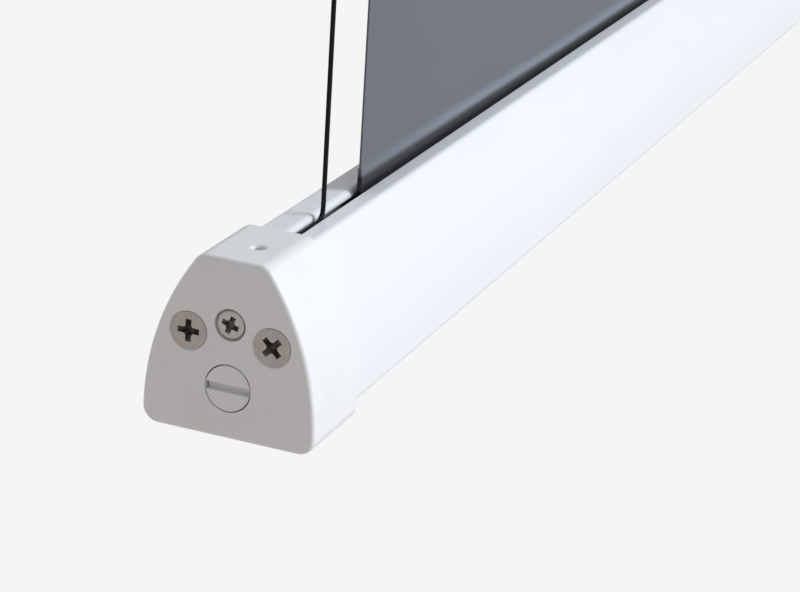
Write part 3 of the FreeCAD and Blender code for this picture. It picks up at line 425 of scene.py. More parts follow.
@dataclass(frozen=True)
class MouldedPlastic(Finish):
    """Moulded plastic with a spark-eroded texture and slow flow marks."""

    texture_size: float = 0.00035
    texture_depth: float = 0.000012
    wear: float = 0.5
    scatter: float = 0.0

    def wire(self, graph: NodeGraph, shader: Node, effects: ShaderEffects) -> None:
        """Adds the mould's texture, flow marks, polished edges and marks.

        Args:
            graph: The material's graph.
            shader: Its Principled shader.
            effects: The shared node groups.
        """
        grain = effects.place_in(graph, "surface_grain", Grain_Size=self.texture_size, Drift_Size=0.012)
        wear = effects.place_in(graph, "edge_wear", Radius=0.0004, Amount=self.wear)["Mask"]
        marks = effects.place_in(graph, "handling_marks", Mark_Size=0.012, Amount=0.7)["Mask"]
        base = graph.mix(grain["Drift"], self.shade(0.965), self.colour)
        base = graph.mix(graph.calc("MULTIPLY", marks, 0.25), base, self.shade(0.90))
        graph.feed(shader.inputs["Base Color"], graph.mix(wear, base, self.shade(1.08)))
        self.vary_roughness(graph, shader, graph.calc("SUBTRACT", marks, wear), 0.10)
        self.bump(graph, shader, grain["Relief"], self.texture_depth)
        if self.scatter:
            shader.inputs["Subsurface Weight"].default_value = self.scatter
            shader.inputs["Subsurface Radius"].default_value = (0.0012, 0.0010, 0.0008)


@dataclass(frozen=True)
class PlatedSteel(Finish):
    """Nickel or zinc plated steel with crystals, draw lines and bright edges."""

    crystal_size: float = 0.004
    crystal_share: float = 0.25
    line_stretch: tuple[float, float, float] = (1.0, 1.0, 1.0)
    line_size: float = 0.0004
    line_depth: float = 0.000006

    def wire(self, graph: NodeGraph, shader: Node, effects: ShaderEffects) -> None:
        """Adds crystals, lines, edge wear and stains.

        Args:
            graph: The material's graph.
            shader: Its Principled shader.
            effects: The shared node groups.
        """
        tone = effects.place_in(graph, "zinc_spangle", Crystal_Size=self.crystal_size)["Tone"]
        grain = effects.place_in(graph, "surface_grain", Grain_Size=self.line_size, Drift_Size=0.02,
                                 Stretch=self.line_stretch)
        wear = effects.place_in(graph, "edge_wear", Radius=0.0003, Amount=0.9)["Mask"]
        marks = effects.place_in(graph, "handling_marks", Mark_Size=0.008, Amount=0.9)["Mask"]
        base = graph.mix(graph.calc("MULTIPLY", tone, self.crystal_share), self.colour, self.shade(0.72))
        base = graph.mix(graph.calc("MULTIPLY", marks, 0.5), base, self.shade(0.66))
        graph.feed(shader.inputs["Base Color"], graph.mix(wear, base, self.shade(1.35)))
        uneven = graph.calc("ADD", graph.calc("MULTIPLY", grain["Relief"], 0.5), marks)
        self.vary_roughness(graph, shader, uneven, 0.16)
        self.bump(graph, shader, grain["Relief"], self.line_depth)
        shader.inputs["Metallic"].default_value = 1.0


@dataclass(frozen=True)
class CoatedFilm(Finish):
    """Dark coated film with a fine embossed grid and a soft sheen."""

    pitch: float = 0.00045
    relief: float = 0.000010
    # painted shade foot: where it starts and its near-black colour
    shade_foot_top: float | None = None
    shade_foot_colour: Colour = (0.004, 0.004, 0.005)
    edge: float = 0.0

    def wire(self, graph: NodeGraph, shader: Node, effects: ShaderEffects) -> None:
        """Adds the embossing, slow tone changes, marks, and on the hem a painted shade foot with a painted
        highlight band above it.

        Args:
            graph: The material's graph.
            shader: Its Principled shader.
            effects: The shared node groups.
        """
        emboss = effects.place_in(graph, "film_emboss", Pitch=self.pitch)
        grain = effects.place_in(graph, "surface_grain", Grain_Size=0.0003, Drift_Size=0.16)
        marks = effects.place_in(graph, "handling_marks", Mark_Size=0.06, Amount=0.5)["Mask"]
        base = graph.mix(grain["Drift"], self.shade(0.95), self.shade(1.05))
        # painted shade: darker colour in the embossed grid's furrows
        base = graph.mix(graph.calc("MULTIPLY", emboss["Furrow Shade"], 0.25), base, self.shade(0.7))
        if self.shade_foot_top is not None:
            base = self.painted_hem_shade_and_highlight(graph, base)
        graph.feed(shader.inputs["Base Color"], base)
        self.vary_roughness(graph, shader, marks, 0.08)
        relief = graph.calc("MULTIPLY_ADD", grain["Relief"], 0.5, emboss["Relief"])
        self.bump(graph, shader, relief, self.relief)
        shader.inputs["Specular IOR Level"].default_value = 0.45
        shader.inputs["Sheen Weight"].default_value = 0.04
        shader.inputs["Sheen Roughness"].default_value = 0.5

    def painted_hem_shade_and_highlight(self, graph: NodeGraph, base: Output) -> Output:
        """Paints shade on the film below the weld, as a near-black foot, and a painted highlight just above
        it.

        Args:
            graph: The material's graph.
            base: The film's colour so far.

        Returns:
            The film's colour with the painted shade foot and the painted highlight band.
        """
        place = graph.add("ShaderNodeSeparateXYZ", {0: graph.place()})
        inward = graph.calc("SUBTRACT", self.edge, graph.calc("ABSOLUTE", place.outputs["X"]))
        # the painted shade foot reaches lower further in from the film's edge
        sunk = graph.remap(inward, 0.0, 0.12, 0.0, 1.1 * MM)
        above = graph.calc("SUBTRACT", graph.calc("ADD", place.outputs["Z"], sunk), self.shade_foot_top)
        # painted highlight: a pale band just above the painted shade foot
        pale = graph.calc("MULTIPLY", graph.remap(above, -0.2 * MM, 0.9 * MM, 0.0, 1.0),
                          graph.remap(above, 1.0 * MM, 2.8 * MM, 1.0, 0.0))
        pale = graph.calc("MULTIPLY", pale, graph.remap(inward, 0.0, 0.05, 0.15, 0.85))
        base = graph.mix(pale, base, self.shade(1.75))
        # painted shade: near black below the foot's top
        return graph.mix(graph.remap(above, -0.7 * MM, 0.35 * MM, 1.0, 0.0), base, self.shade_foot_colour)


@dataclass(frozen=True)
class ClearVinyl(Finish):
    """Clear soft vinyl, a little cloudy, with a fine matt grain."""

    def wire(self, graph: NodeGraph, shader: Node, effects: ShaderEffects) -> None:
        """Adds the grain and cloudiness.

        Args:
            graph: The material's graph.
            shader: Its Principled shader.
            effects: The shared node groups.
        """
        grain = effects.place_in(graph, "surface_grain", Grain_Size=0.0012, Drift_Size=0.01)
        marks = effects.place_in(graph, "handling_marks", Mark_Size=0.006, Amount=1.0)["Mask"]
        graph.feed(shader.inputs["Base Color"], graph.mix(grain["Drift"], self.shade(0.94), self.colour))
        self.vary_roughness(graph, shader, marks, 0.18)
        self.bump(graph, shader, grain["Relief"], 0.00002)
        shader.inputs["Transmission Weight"].default_value = 0.82
        shader.inputs["IOR"].default_value = 1.5


@dataclass(frozen=True)
class BraidedCord(Finish):
    """Black braided cord."""

    pitch: float = 0.0013
    strands: float = 4.0
    depth: float = 0.00007

    def wire(self, graph: NodeGraph, shader: Node, effects: ShaderEffects) -> None:
        """Adds the crossing strands with painted shade in the gaps between them, and a dusting of fibre ends.

        Args:
            graph: The material's graph.
            shader: Its Principled shader.
            effects: The shared node groups.
        """
        braid = effects.place_in(graph, "braided_strands", Pitch=self.pitch, Strands=self.strands)
        grain = effects.place_in(graph, "surface_grain", Grain_Size=0.00012, Drift_Size=0.004)
        base = graph.mix(grain["Drift"], self.colour, self.shade(1.7))
        # painted shade: the gaps between the strands are darkened
        graph.feed(shader.inputs["Base Color"], graph.mix(braid["Gap"], base, self.shade(0.35)))
        self.vary_roughness(graph, shader, grain["Relief"], 0.15)
        relief = graph.calc("MULTIPLY_ADD", grain["Relief"], 0.2, braid["Relief"])
        self.bump(graph, shader, relief, self.depth)
        shader.inputs["Specular IOR Level"].default_value = 0.25


class Palette:
    """The blind's finishes, each made into a material the first time that it is used."""

    def __init__(self) -> None:
        """Lists the finishes; one that is made from another keeps its slot in the record."""
        lengthwise = (0.02, 1.0, 1.0)
        film = CoatedFilm(Look.SCREEN_FABRIC, (0.105, 0.120, 0.141), 0.40)
        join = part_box("fabric")
        # the hem's film gets the painted shade foot and the painted highlight band
        hem = replace(film, shade_foot_top=join[0].z - 2.5 * MM, edge=join[1].x)
        finishes = (
            PowderCoat(Look.WHITE_PAINT, (0.80, 0.81, 0.82), 0.38),
            MouldedPlastic(Look.WHITE_PLASTIC, (0.79, 0.785, 0.775), 0.46, scatter=0.06),
            PlatedSteel(Look.ZINC_STEEL, (0.60, 0.61, 0.62), 0.36, crystal_size=0.006, crystal_share=0.5),
            PlatedSteel(Look.SCREW_STEEL, (0.53, 0.495, 0.46), 0.40, crystal_size=0.0009, crystal_share=0.3),
            PlatedSteel(Look.ROLLER_ALUMINIUM, (0.74, 0.75, 0.76), 0.32, crystal_share=0.0,
                        line_stretch=lengthwise, line_depth=0.000012),
            PlatedSteel(Look.MOTOR_STEEL, (0.50, 0.51, 0.52), 0.42, crystal_size=0.009, crystal_share=0.6,
                        line_stretch=lengthwise),
            MouldedPlastic(Look.BLACK_PLASTIC, (0.030, 0.030, 0.032), 0.44, texture_size=0.0005, wear=0.9),
            MouldedPlastic(Look.DIAL_PLASTIC, (0.72, 0.50, 0.05), 0.34, texture_size=0.0006),
            film,
            ClearVinyl(Look.CLEAR_TAB, (0.90, 0.92, 0.93), 0.22),
            BraidedCord(Look.BLACK_CORD, (0.005, 0.005, 0.006), 0.70),
        )
        self.finishes = {finish.slot: finish for finish in finishes}
        self.finishes[Look.HEM_FILM] = hem
        screw = self.finishes[Look.SCREW_STEEL]
        self.finishes[Look.NICKEL_STEEL] = replace(screw, colour=(0.62, 0.60, 0.565))
        # painted shade: a much darker copy of the screw steel for the cross recesses
        self.finishes[Look.RECESS_SHADE_STEEL] = replace(screw, colour=(0.20, 0.19, 0.165), roughness=0.55,
                                                crystal_share=0.5)
        self.effects = ShaderEffects()
        self.made: dict[Look, bpy.types.Material] = {}

    def material(self, finish: Look) -> bpy.types.Material:
        """The material of a finish."""
        if finish not in self.made:
            self.made[finish] = self.finishes[finish].material(self.effects)
        return self.made[finish]


# -------------------------------------------------------------------------------- mesh work
def finished_mesh(name: str, work: bmesh.types.BMesh) -> bpy.types.Mesh:
    """Turns a working mesh into a smooth-shaded one whose sharp edges stay sharp.

    Args:
        name: The new mesh's name.
        work: The working mesh, which is freed.

    Returns:
        The mesh.
    """
    bmesh.ops.recalc_face_normals(work, faces=work.faces)
    mesh = bpy.data.meshes.new(name)
    work.to_mesh(mesh)
    work.free()
    mesh.polygons.foreach_set("use_smooth", [True] * len(mesh.polygons))
    mesh.set_sharp_from_angle(angle=SMOOTH_UNDER)
    return mesh


def slab_mesh(name: str, front: Grid, back: Grid) -> bpy.types.Mesh:
    """A closed sheet between two grids of points.

    Args:
        name: The mesh's name.
        front: Rows of points on one side.
        back: The same rows on the other side.

    Returns:
        The mesh.
    """
    work = bmesh.new()
    sides = [[[work.verts.new(point) for point in row] for row in grid] for grid in (front, back)]
    rows, columns = len(front), len(front[0])
    for side in sides:
        for i in range(rows - 1):
            for j in range(columns - 1):
                work.faces.new((side[i][j], side[i][j + 1], side[i + 1][j + 1], side[i + 1][j]))
    rim = [(0, j) for j in range(columns)] + [(i, columns - 1) for i in range(1, rows)]
    rim += [(rows - 1, j) for j in range(columns - 2, -1, -1)] + [(i, 0) for i in range(rows - 2, 0, -1)]
    for (i, j), (k, m) in zip(rim, rim[1:] + rim[:1]):
        work.faces.new((sides[0][i][j], sides[0][k][m], sides[1][k][m], sides[1][i][j]))
    return finished_mesh(name, work)


def offset_line(line: Sequence[Vector], distance: float) -> list[Vector]:
    """A flat line's points moved sideways.

    Args:
        line: The points, in two dimensions.
        distance: How far to move them to the left of the line's direction.

    Returns:
        The moved points.
    """
    moved = []
    for i, point in enumerate(line):
        step = (line[min(i + 1, len(line) - 1)] - line[max(i - 1, 0)]).normalized()
        moved.append(point + Vector((-step.y, step.x)) * distance)
    return moved


def smooth_line(route: Sequence[Vector], fineness: int = 12) -> list[Vector]:
    """Points along the smooth line that a route's points steer.

    Args:
        route: The control points.
        fineness: Points made for each control point.

    Returns:
        The line's points.
    """
    curve = bpy.data.curves.new("route", "CURVE")
    curve.dimensions = "3D"
    curve.resolution_u = fineness
    spline = curve.splines.new("NURBS")
    spline.points.add(len(route) - 1)
    for control, point in zip(spline.points, route):
        control.co = (*point, 1.0)
    spline.order_u = 3
    spline.use_endpoint_u = True
    holder = bpy.data.objects.new("route", curve)
    mesh = bpy.data.meshes.new_from_object(holder)
    points = [vertex.co.copy() for vertex in mesh.vertices]
    bpy.data.meshes.remove(mesh)
    bpy.data.objects.remove(holder)
    bpy.data.curves.remove(curve)
    return points


def loft(work: bmesh.types.BMesh, rings: Sequence[Sequence[Vector]]) -> list[list[bmesh.types.BMFace]]:
    """Joins rings of points into a closed skin.

    Args:
        work: The working mesh that the faces go in.
        rings: Rings with the same number of points.

    Returns:
        The side faces, one row for each pair of rings.
    """
    placed = [[work.verts.new(point) for point in ring] for ring in rings]
    sides = len(placed[0])
    rows = []
    for near, far in zip(placed, placed[1:]):
        rows.append([work.faces.new((near[k], near[(k + 1) % sides], far[(k + 1) % sides], far[k]))
                     for k in range(sides)])
    work.faces.new(reversed(placed[0]))
    work.faces.new(placed[-1])
    return rows


def tube_mesh(name: str, line: Sequence[Vector], radius: float, sides: int = 14) -> bpy.types.Mesh:
    """A round tube along a line, with a map that runs along it in metres and round it from 0 to 1.

    Args:
        name: The mesh's name.
        line: The points that the tube's middle follows.
        radius: The tube's radius.
        sides: Faces round the tube.

    Returns:
        The mesh.
    """
    steps = [(line[min(i + 1, len(line) - 1)] - line[max(i - 1, 0)]).normalized() for i in range(len(line))]
    side = steps[0].orthogonal().normalized()
    rings, reached = [], [0.0]
    for i, (point, step) in enumerate(zip(line, steps)):
        if i:
            side = steps[i - 1].rotation_difference(step) @ side
            reached.append(reached[-1] + (point - line[i - 1]).length)
        spokes = (Quaternion(step, math.tau * k / sides) @ side for k in range(sides))
        rings.append([point + spoke * radius for spoke in spokes])
    work = bmesh.new()
    layer = work.loops.layers.uv.new("cord_map")
    for i, row in enumerate(loft(work, rings)):
        for k, face in enumerate(row):
            corners = ((i, k), (i, k + 1), (i + 1, k + 1), (i + 1, k))
            for loop, (ring, turn) in zip(face.loops, corners):
                loop[layer].uv = (reached[ring], turn / sides)
    return finished_mesh(name, work)


def turned_ring(x: float, radius: Callable[[float], float] | float, sides: int) -> list[Vector]:
    """One ring of a shape turned round X; the radius may change with the angle."""
    angles = [math.tau * k / sides for k in range(sides)]
    radii = [radius(angle) if callable(radius) else radius for angle in angles]
    return [Vector((x, r * math.cos(a), r * math.sin(a))) for a, r in zip(angles, radii)]


def coil_line(centre: Vector, reach: float, pitch: float, turns: float, steps: int,
              first: float = 0.0) -> list[Vector]:
    """Points on a coil round X.

    Args:
        centre: The middle of the coil's first turn.
        reach: The coil's radius.
        pitch: How far it moves along X in a turn.
        turns: The number of turns.
        steps: Points in a turn.
        first: The angle of its first point.

    Returns:
        The points.
    """
    line = []
    for i in range(round(turns * steps) + 1):
        angle = first + math.tau * i / steps
        line.append(centre + Vector((pitch * i / steps, reach * math.cos(angle), reach * math.sin(angle))))
    return line


def cut(mesh: bpy.types.Mesh, tools: Sequence[bpy.types.Mesh]) -> bpy.types.Mesh:
    """Cuts tools out of a mesh.

    Args:
        mesh: The mesh to cut, which is removed.
        tools: Closed meshes, which are removed.

    Returns:
        The cut mesh.
    """
    blank = bpy.data.objects.new(mesh.name, mesh)
    bpy.context.scene.collection.objects.link(blank)
    cutters = []
    for tool in tools:
        cutter = bpy.data.objects.new(tool.name, tool)
        bpy.context.scene.collection.objects.link(cutter)
        modifier = blank.modifiers.new(tool.name, "BOOLEAN")
        modifier.object, modifier.operation, modifier.solver = cutter, "DIFFERENCE", "EXACT"
        cutters.append(cutter)
    solid = blank.evaluated_get(bpy.context.evaluated_depsgraph_get())
    result = bpy.data.meshes.new_from_object(solid)
    result.name = f"{mesh.name}_cut"
    for used in (blank, *cutters):
        data = used.data
        bpy.data.objects.remove(used)
        bpy.data.meshes.remove(data)
    result.polygons.foreach_set("use_smooth", [True] * len(result.polygons))
    result.set_sharp_from_angle(angle=SMOOTH_UNDER)
    return result


@dataclass(frozen=True)
class EdgeSoftener:
    """Remakes a node's mesh with its sharp edges rounded over."""

    width: float
    segments: int = 2
    flat_angle: float = math.radians(0.3)

    def mesh(self, node: str, name: str) -> bpy.types.Mesh:
        """The softened mesh.

        Args:
            node: The CAD node to follow.
            name: The new mesh's name.

        Returns:
            The mesh.
        """
        work = bmesh.new()
        work.from_mesh(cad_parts[node].data)
        bmesh.ops.remove_doubles(work, verts=work.verts, dist=WELD)
        bmesh.ops.dissolve_limit(work, angle_limit=self.flat_angle, verts=work.verts, edges=work.edges)
        sharp = [edge for edge in work.edges
                 if len(edge.link_faces) == 2 and edge.calc_face_angle() > SMOOTH_UNDER]
        bmesh.ops.bevel(work, geom=sharp, offset=self.width, offset_type="OFFSET", segments=self.segments,
                        profile=0.5, affect="EDGES", clamp_overlap=True)
        return finished_mesh(name, work)


def box_middle(node: str) -> Vector:
    """The middle of a node's box."""
    low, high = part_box(node)
    return (low + high) / 2


def steady_normals(piece: bpy.types.Object) -> None:
    """Lets a piece's broad faces set the shading beside its rounded edges."""
    modifier = piece.modifiers.new("steady_normals", "WEIGHTED_NORMAL")
    modifier.keep_sharp = True


# -------------------------------------------------------------------------------- sub-assemblies
@dataclass
class SubAssembly:
    """A group of pieces that are built and dressed together."""

    palette: Palette

    def add(self, name: str, mesh: bpy.types.Mesh, finish: Look, body: Body | str,
            replaces: Iterable[str] = (), inner: Look | None = None) -> bpy.types.Object:
        """Puts a mesh in the scene as a piece.

        Args:
            name: The piece's name.
            mesh: Its mesh, already in place.
            finish: The finish it wears.
            body: The body it rides on.
            replaces: The CAD nodes that it stands for.
            inner: The finish of faces whose material index is 1.

        Returns:
            The piece.
        """
        for index, used in enumerate([finish, inner] if inner else [finish]):
            if index < len(mesh.materials):
                mesh.materials[index] = self.palette.material(used)
            else:
                mesh.materials.append(self.palette.material(used))
        piece = bpy.data.objects.new(name, mesh)
        bpy.context.scene.collection.objects.link(piece)
        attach(piece, str(getattr(body, "value", body)))
        if replaces:
            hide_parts(*replaces)
        LOG.info("%s: %d faces, %s", name, len(mesh.polygons), finish.value)
        return piece

    def dress(self, finish: Look, *nodes: str) -> None:
        """Gives CAD nodes a finish where they stand.

        Args:
            finish: The finish.
            *nodes: The nodes.
        """
        for node in nodes:
            for material_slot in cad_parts[node].material_slots:
                material_slot.material = self.palette.material(finish)
            LOG.info("%s: packed shape, %s", node, finish.value)

    def soften(self, name: str, node: str, width: float, finish: Look, body: Body | str) -> bpy.types.Object:
        """Stands a softened copy in for a CAD node.

        Args:
            name: The piece's name.
            node: The node it follows and replaces.
            width: The rounding of its edges.
            finish: Its finish.
            body: The body it rides on.

        Returns:
            The piece.
        """
        piece = self.add(name, EdgeSoftener(width).mesh(node, name), finish, body, [node])
        steady_normals(piece)
        return piece


@dataclass
class BarPlace:
    """Where an end of the bottom bar is: the outer face's lowest middle point."""

    end: End

    def __post_init__(self) -> None:
        """Reads the cap's box."""
        low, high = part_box(self.end.named("end_cap"))
        self.face = self.end.outer(low, high)
        self.y = (low.y + high.y) / 2
        self.z = low.z

    def at(self, inward: float, back: float, up: float) -> Vector:
        """The point this far inward from the face, back from the bar's middle and up from its base."""
        return Vector((self.face - self.end.value * inward, self.y + back, self.z + up))


@dataclass
class BottomBar(SubAssembly):
    """The white extrusion, the flat steel weight inside it and the rod in its hem bore."""

    edge: float = 0.22 * MM

    def build(self) -> None:
        """Builds the bar's pieces."""
        self.soften("bar_profile", "bottom_bar", self.edge, Look.WHITE_PAINT, Body.RAIL)
        self.soften("bar_weight", "ballast_bar", 2 * self.edge, Look.ZINC_STEEL, Body.RAIL)
        self.dress(Look.BLACK_PLASTIC, "hem_rod")


@dataclass(frozen=True)
class CrossRecess:
    """The tapered cross in a screw's head."""

    length: float
    width: float
    depth: float
    floor_share: float = 0.42
    over: float = 0.3 * MM

    def reach(self, deep: float) -> float:
        """How far from the axis the recess's walls are at a depth, with a little to spare."""
        share = 1.08 - (1.08 - self.floor_share) * max(0.0, deep) / self.depth
        return self.length / 2 * share * 1.05

    def wing(self, turn: float) -> bpy.types.Mesh:
        """One of the two crossed bars.

        Args:
            turn: How far it is turned round the screw's axis.

        Returns:
            Its mesh.
        """
        work = bmesh.new()
        rings = []
        for x, share in ((-self.over, 1.08), (self.depth, self.floor_share)):
            y, z = self.length / 2 * share, self.width / 2 * (0.35 + 0.65 * share)
            rings.append([Vector((x, *corner)) for corner in ((-y, -z), (y, -z), (y, z), (-y, z))])
        loft(work, rings)
        bmesh.ops.transform(work, matrix=Matrix.Rotation(turn, 4, "X"), verts=work.verts)
        return finished_mesh("recess_wing", work)

    def tools(self) -> list[bpy.types.Mesh]:
        """The meshes that cut the recess: two bars and the pit where they cross."""
        work = bmesh.new()
        pit = ((-self.over, 0.95), (0.3 * self.depth, 0.85), (self.depth, 0.5), (1.25 * self.depth, 0.12))
        loft(work, [turned_ring(x, share * self.width, 16) for x, share in pit])
        return [self.wing(0.0), self.wing(math.pi / 2), finished_mesh("recess_pit", work)]


@dataclass(frozen=True)
class CrossHeadScrew:
    """A cross-head screw that points along +X, with its head's face at x = 0."""

    head: tuple[tuple[float, float], ...]
    length: float
    crest: float
    recess: CrossRecess
    thread_depth: float = 0.32 * MM
    pitch: float = 1.25 * MM
    tip: float = 2.5 * MM
    sides: int = 40

    def thread_radius(self, x: float, angle: float) -> float:
        """The thread's radius at a place along the shank and an angle round it."""
        phase = (x / self.pitch - angle / math.tau) % 1.0
        narrowing = max(0.0, x - (self.length - self.tip)) / self.tip
        return (self.crest - self.thread_depth * abs(2 * phase - 1)) * (1 - 0.55 * narrowing)

    def mesh(self, name: str) -> bpy.types.Mesh:
        """The screw's mesh, whose recess's faces have the second material, a darker steel that carries
        painted shade.

        Args:
            name: The mesh's name.

        Returns:
            The mesh.
        """
        work = bmesh.new()
        rings = [turned_ring(x, radius, self.sides) for x, radius in self.head]
        start = self.head[-1][0]
        count = round((self.length - start) / self.pitch * 7)
        for i in range(1, count + 1):
            x = start + (self.length - start) * i / count
            rings.append(turned_ring(x, lambda angle, x=x: self.thread_radius(x, angle), self.sides))
        loft(work, rings)
        mesh = cut(finished_mesh(name, work), self.recess.tools())
        for face in mesh.polygons:
            deep, reach = face.center.x, math.hypot(face.center.y, face.center.z)
            inside = 0.01 * MM < deep < 1.3 * self.recess.depth and reach < self.recess.reach(deep)
            # recess faces take the darker steel, painted shade
            face.material_index = 1 if inside else 0
        return mesh


@dataclass
class EndCap(SubAssembly):
    """A moulded cap with its screws, its slotted cord adjuster and the cord inside it."""

    place: BarPlace
    edge: float = 0.16 * MM
    rim_gap: float = 0.20 * MM
    rim_width: float = 0.4 * MM
    peep: tuple[float, float] = (8.9 * MM, -0.9 * MM)
    peep_rings: tuple[tuple[float, float], ...] = ((0.4, 2.3), (0.0, 1.75), (-0.25, 1.35), (-0.5, 1.12))
    head_radius: float = 3.75 * MM
    guide_head_radius: float = 2.75 * MM
    cord_radius: float = 0.475 * MM
    turn_radius: float = 3.6 * MM
    turns: float = 2.9
    turn_pitch: float = 0.97 * MM

    def build(self) -> None:
        """Builds one end's pieces."""
        end = self.place.end
        self.shell()
        self.adjuster()
        self.side_screws()
        self.guide_screw()
        self.cord_tail()
        self.cord_turns()
        guide = end.named("cord_guide")
        self.soften(end.named("guide_block"), guide, self.edge, Look.BLACK_PLASTIC, Body.RAIL)

    @property
    def adjuster_body(self) -> str:
        """The body that the adjuster and the cord on it turn with."""
        return f"{self.place.end.name.lower()}_adjuster"

    def shell(self) -> None:
        """The cap's own moulding."""
        name, node = self.place.end.named("cap_shell"), self.place.end.named("end_cap")
        mesh = cut(EdgeSoftener(self.edge).mesh(node, name), [self.countersink()])
        steady_normals(self.add(name, mesh, Look.WHITE_PLASTIC, Body.RAIL, [node]))

    def countersink(self) -> bpy.types.Mesh:
        """The cone that opens the mouth of the small hole in the cap's top."""
        top = self.place.at(*self.peep, 0.0)
        top.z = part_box(self.place.end.named("end_cap"))[1].z
        work = bmesh.new()
        rings = []
        for up, radius in self.peep_rings:
            ring = turned_ring(0.0, radius * MM, 32)
            rings.append([top + Vector((point.y, point.z, up * MM)) for point in ring])
        loft(work, rings)
        return finished_mesh("countersink", work)

    def adjuster(self) -> None:
        """The slotted adjuster, drawn in at its rim, and its clip, which turn together."""
        end = self.place.end
        node = end.named("tension_adjuster")
        body = self.adjuster_body
        piece = self.soften(end.named("slotted_adjuster"), node, self.edge, Look.WHITE_PLASTIC, body)
        low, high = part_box(node)
        middle, rim = (low + high) / 2, (high.z - low.z) / 2
        shrink = 1 - self.rim_gap / rim
        for vertex in piece.data.vertices:
            y, z = vertex.co.y - middle.y, vertex.co.z - middle.z
            if math.hypot(y, z) > rim - self.rim_width:
                vertex.co.y, vertex.co.z = middle.y + y * shrink, middle.z + z * shrink
        clip = end.named("adjuster_clip")
        self.soften(end.named("retaining_clip"), clip, self.edge / 2, Look.SCREW_STEEL, body)

    def fit_screw(self, name: str, node: str, screw: CrossHeadScrew, y: float, turn: float,
                  finish: Look) -> None:
        """Puts a screw in the cap.

        Args:
            name: The piece's name, without its end.
            node: The CAD node that it stands for.
            screw: The screw.
            y: Where its axis is.
            turn: How far its recess is turned, in degrees.
            finish: The finish of its outside.
        """
        end = self.place.end
        low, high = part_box(node)
        head = Vector((end.outer(low, high), y, (low.z + high.z) / 2))
        facing = 0.0 if end is End.LEFT else math.pi
        turned = Matrix.Rotation(facing, 4, "Z") @ Matrix.Rotation(math.radians(turn), 4, "X")
        mesh = screw.mesh(name)
        mesh.transform(Matrix.Translation(head) @ turned)
        self.add(end.named(name), mesh, finish, Body.RAIL, [node], Look.RECESS_SHADE_STEEL)

    def side_screws(self) -> None:
        """The two countersunk screws that hold the cap on the bar."""
        node = self.place.end.named("cap_screws")
        low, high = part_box(node)
        r = self.head_radius
        head = ((0.0, r - 0.30 * MM), (0.02 * MM, r - 0.18 * MM), (0.09 * MM, r - 0.11 * MM),
                (r - 1.9 * MM, 1.9 * MM), (r - 1.5 * MM, 1.62 * MM))
        screw = CrossHeadScrew(head, high.x - low.x, 1.88 * MM, CrossRecess(4.45 * MM, 1.2 * MM, 1.7 * MM))
        self.fit_screw("front_cap_screw", node, screw, low.y + r, 45.0, Look.SCREW_STEEL)
        self.fit_screw("rear_cap_screw", node, screw, high.y - r, 0.0, Look.SCREW_STEEL)

    def guide_screw(self) -> None:
        """The smaller pan screw sunk between the other two."""
        node = self.place.end.named("guide_screw")
        low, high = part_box(node)
        r = self.guide_head_radius
        head = ((0.0, 0.80 * r), (0.05 * MM, 0.92 * r), (0.22 * MM, 0.985 * r), (0.5 * MM, r), (1.2 * MM, r),
                (1.25 * MM, 0.94 * r), (1.3 * MM, 1.5 * MM), (1.6 * MM, 1.45 * MM))
        recess = CrossRecess(3.75 * MM, 1.1 * MM, 0.95 * MM)
        screw = CrossHeadScrew(head, high.x - low.x, 1.48 * MM, recess, pitch=0.9 * MM)
        self.fit_screw("cord_guide_screw", node, screw, (low.y + high.y) / 2, 20.0, Look.NICKEL_STEEL)

    def cord_tail(self) -> None:
        """The cord's stretch in the slot and down inside the cap."""
        route = ((36.7, -1.2, 38.4), (36.7, -1.2, 37.6), (36.7, -1.2, 31.9), (31.0, -1.2, 31.9),
                 (14.7, -1.2, 31.9), (9.0, -1.2, 31.9), (9.0, -1.82, 26.2), (9.0, -3.6, 10.0))
        line = smooth_line([self.place.at(*(value * MM for value in point)) for point in route])
        end = self.place.end
        mesh = tube_mesh("cord_tail", line, self.cord_radius)
        self.add(end.named("cord_in_bar"), mesh, Look.BLACK_CORD, Body.RAIL, [end.named("cord_tail")])

    def cord_turns(self) -> None:
        """The cord's turns on the adjuster."""
        end = self.place.end
        node = end.named("cord_turns")
        pitch = -end.value * self.turn_pitch
        start = box_middle(node) - Vector((pitch * self.turns / 2, 0.0, 0.0))
        line = coil_line(start, self.turn_radius, pitch, self.turns, 28, math.pi)
        mesh = tube_mesh("cord_turns", line, self.cord_radius)
        self.add(end.named("cord_winding"), mesh, Look.BLACK_CORD, self.adjuster_body, [node])


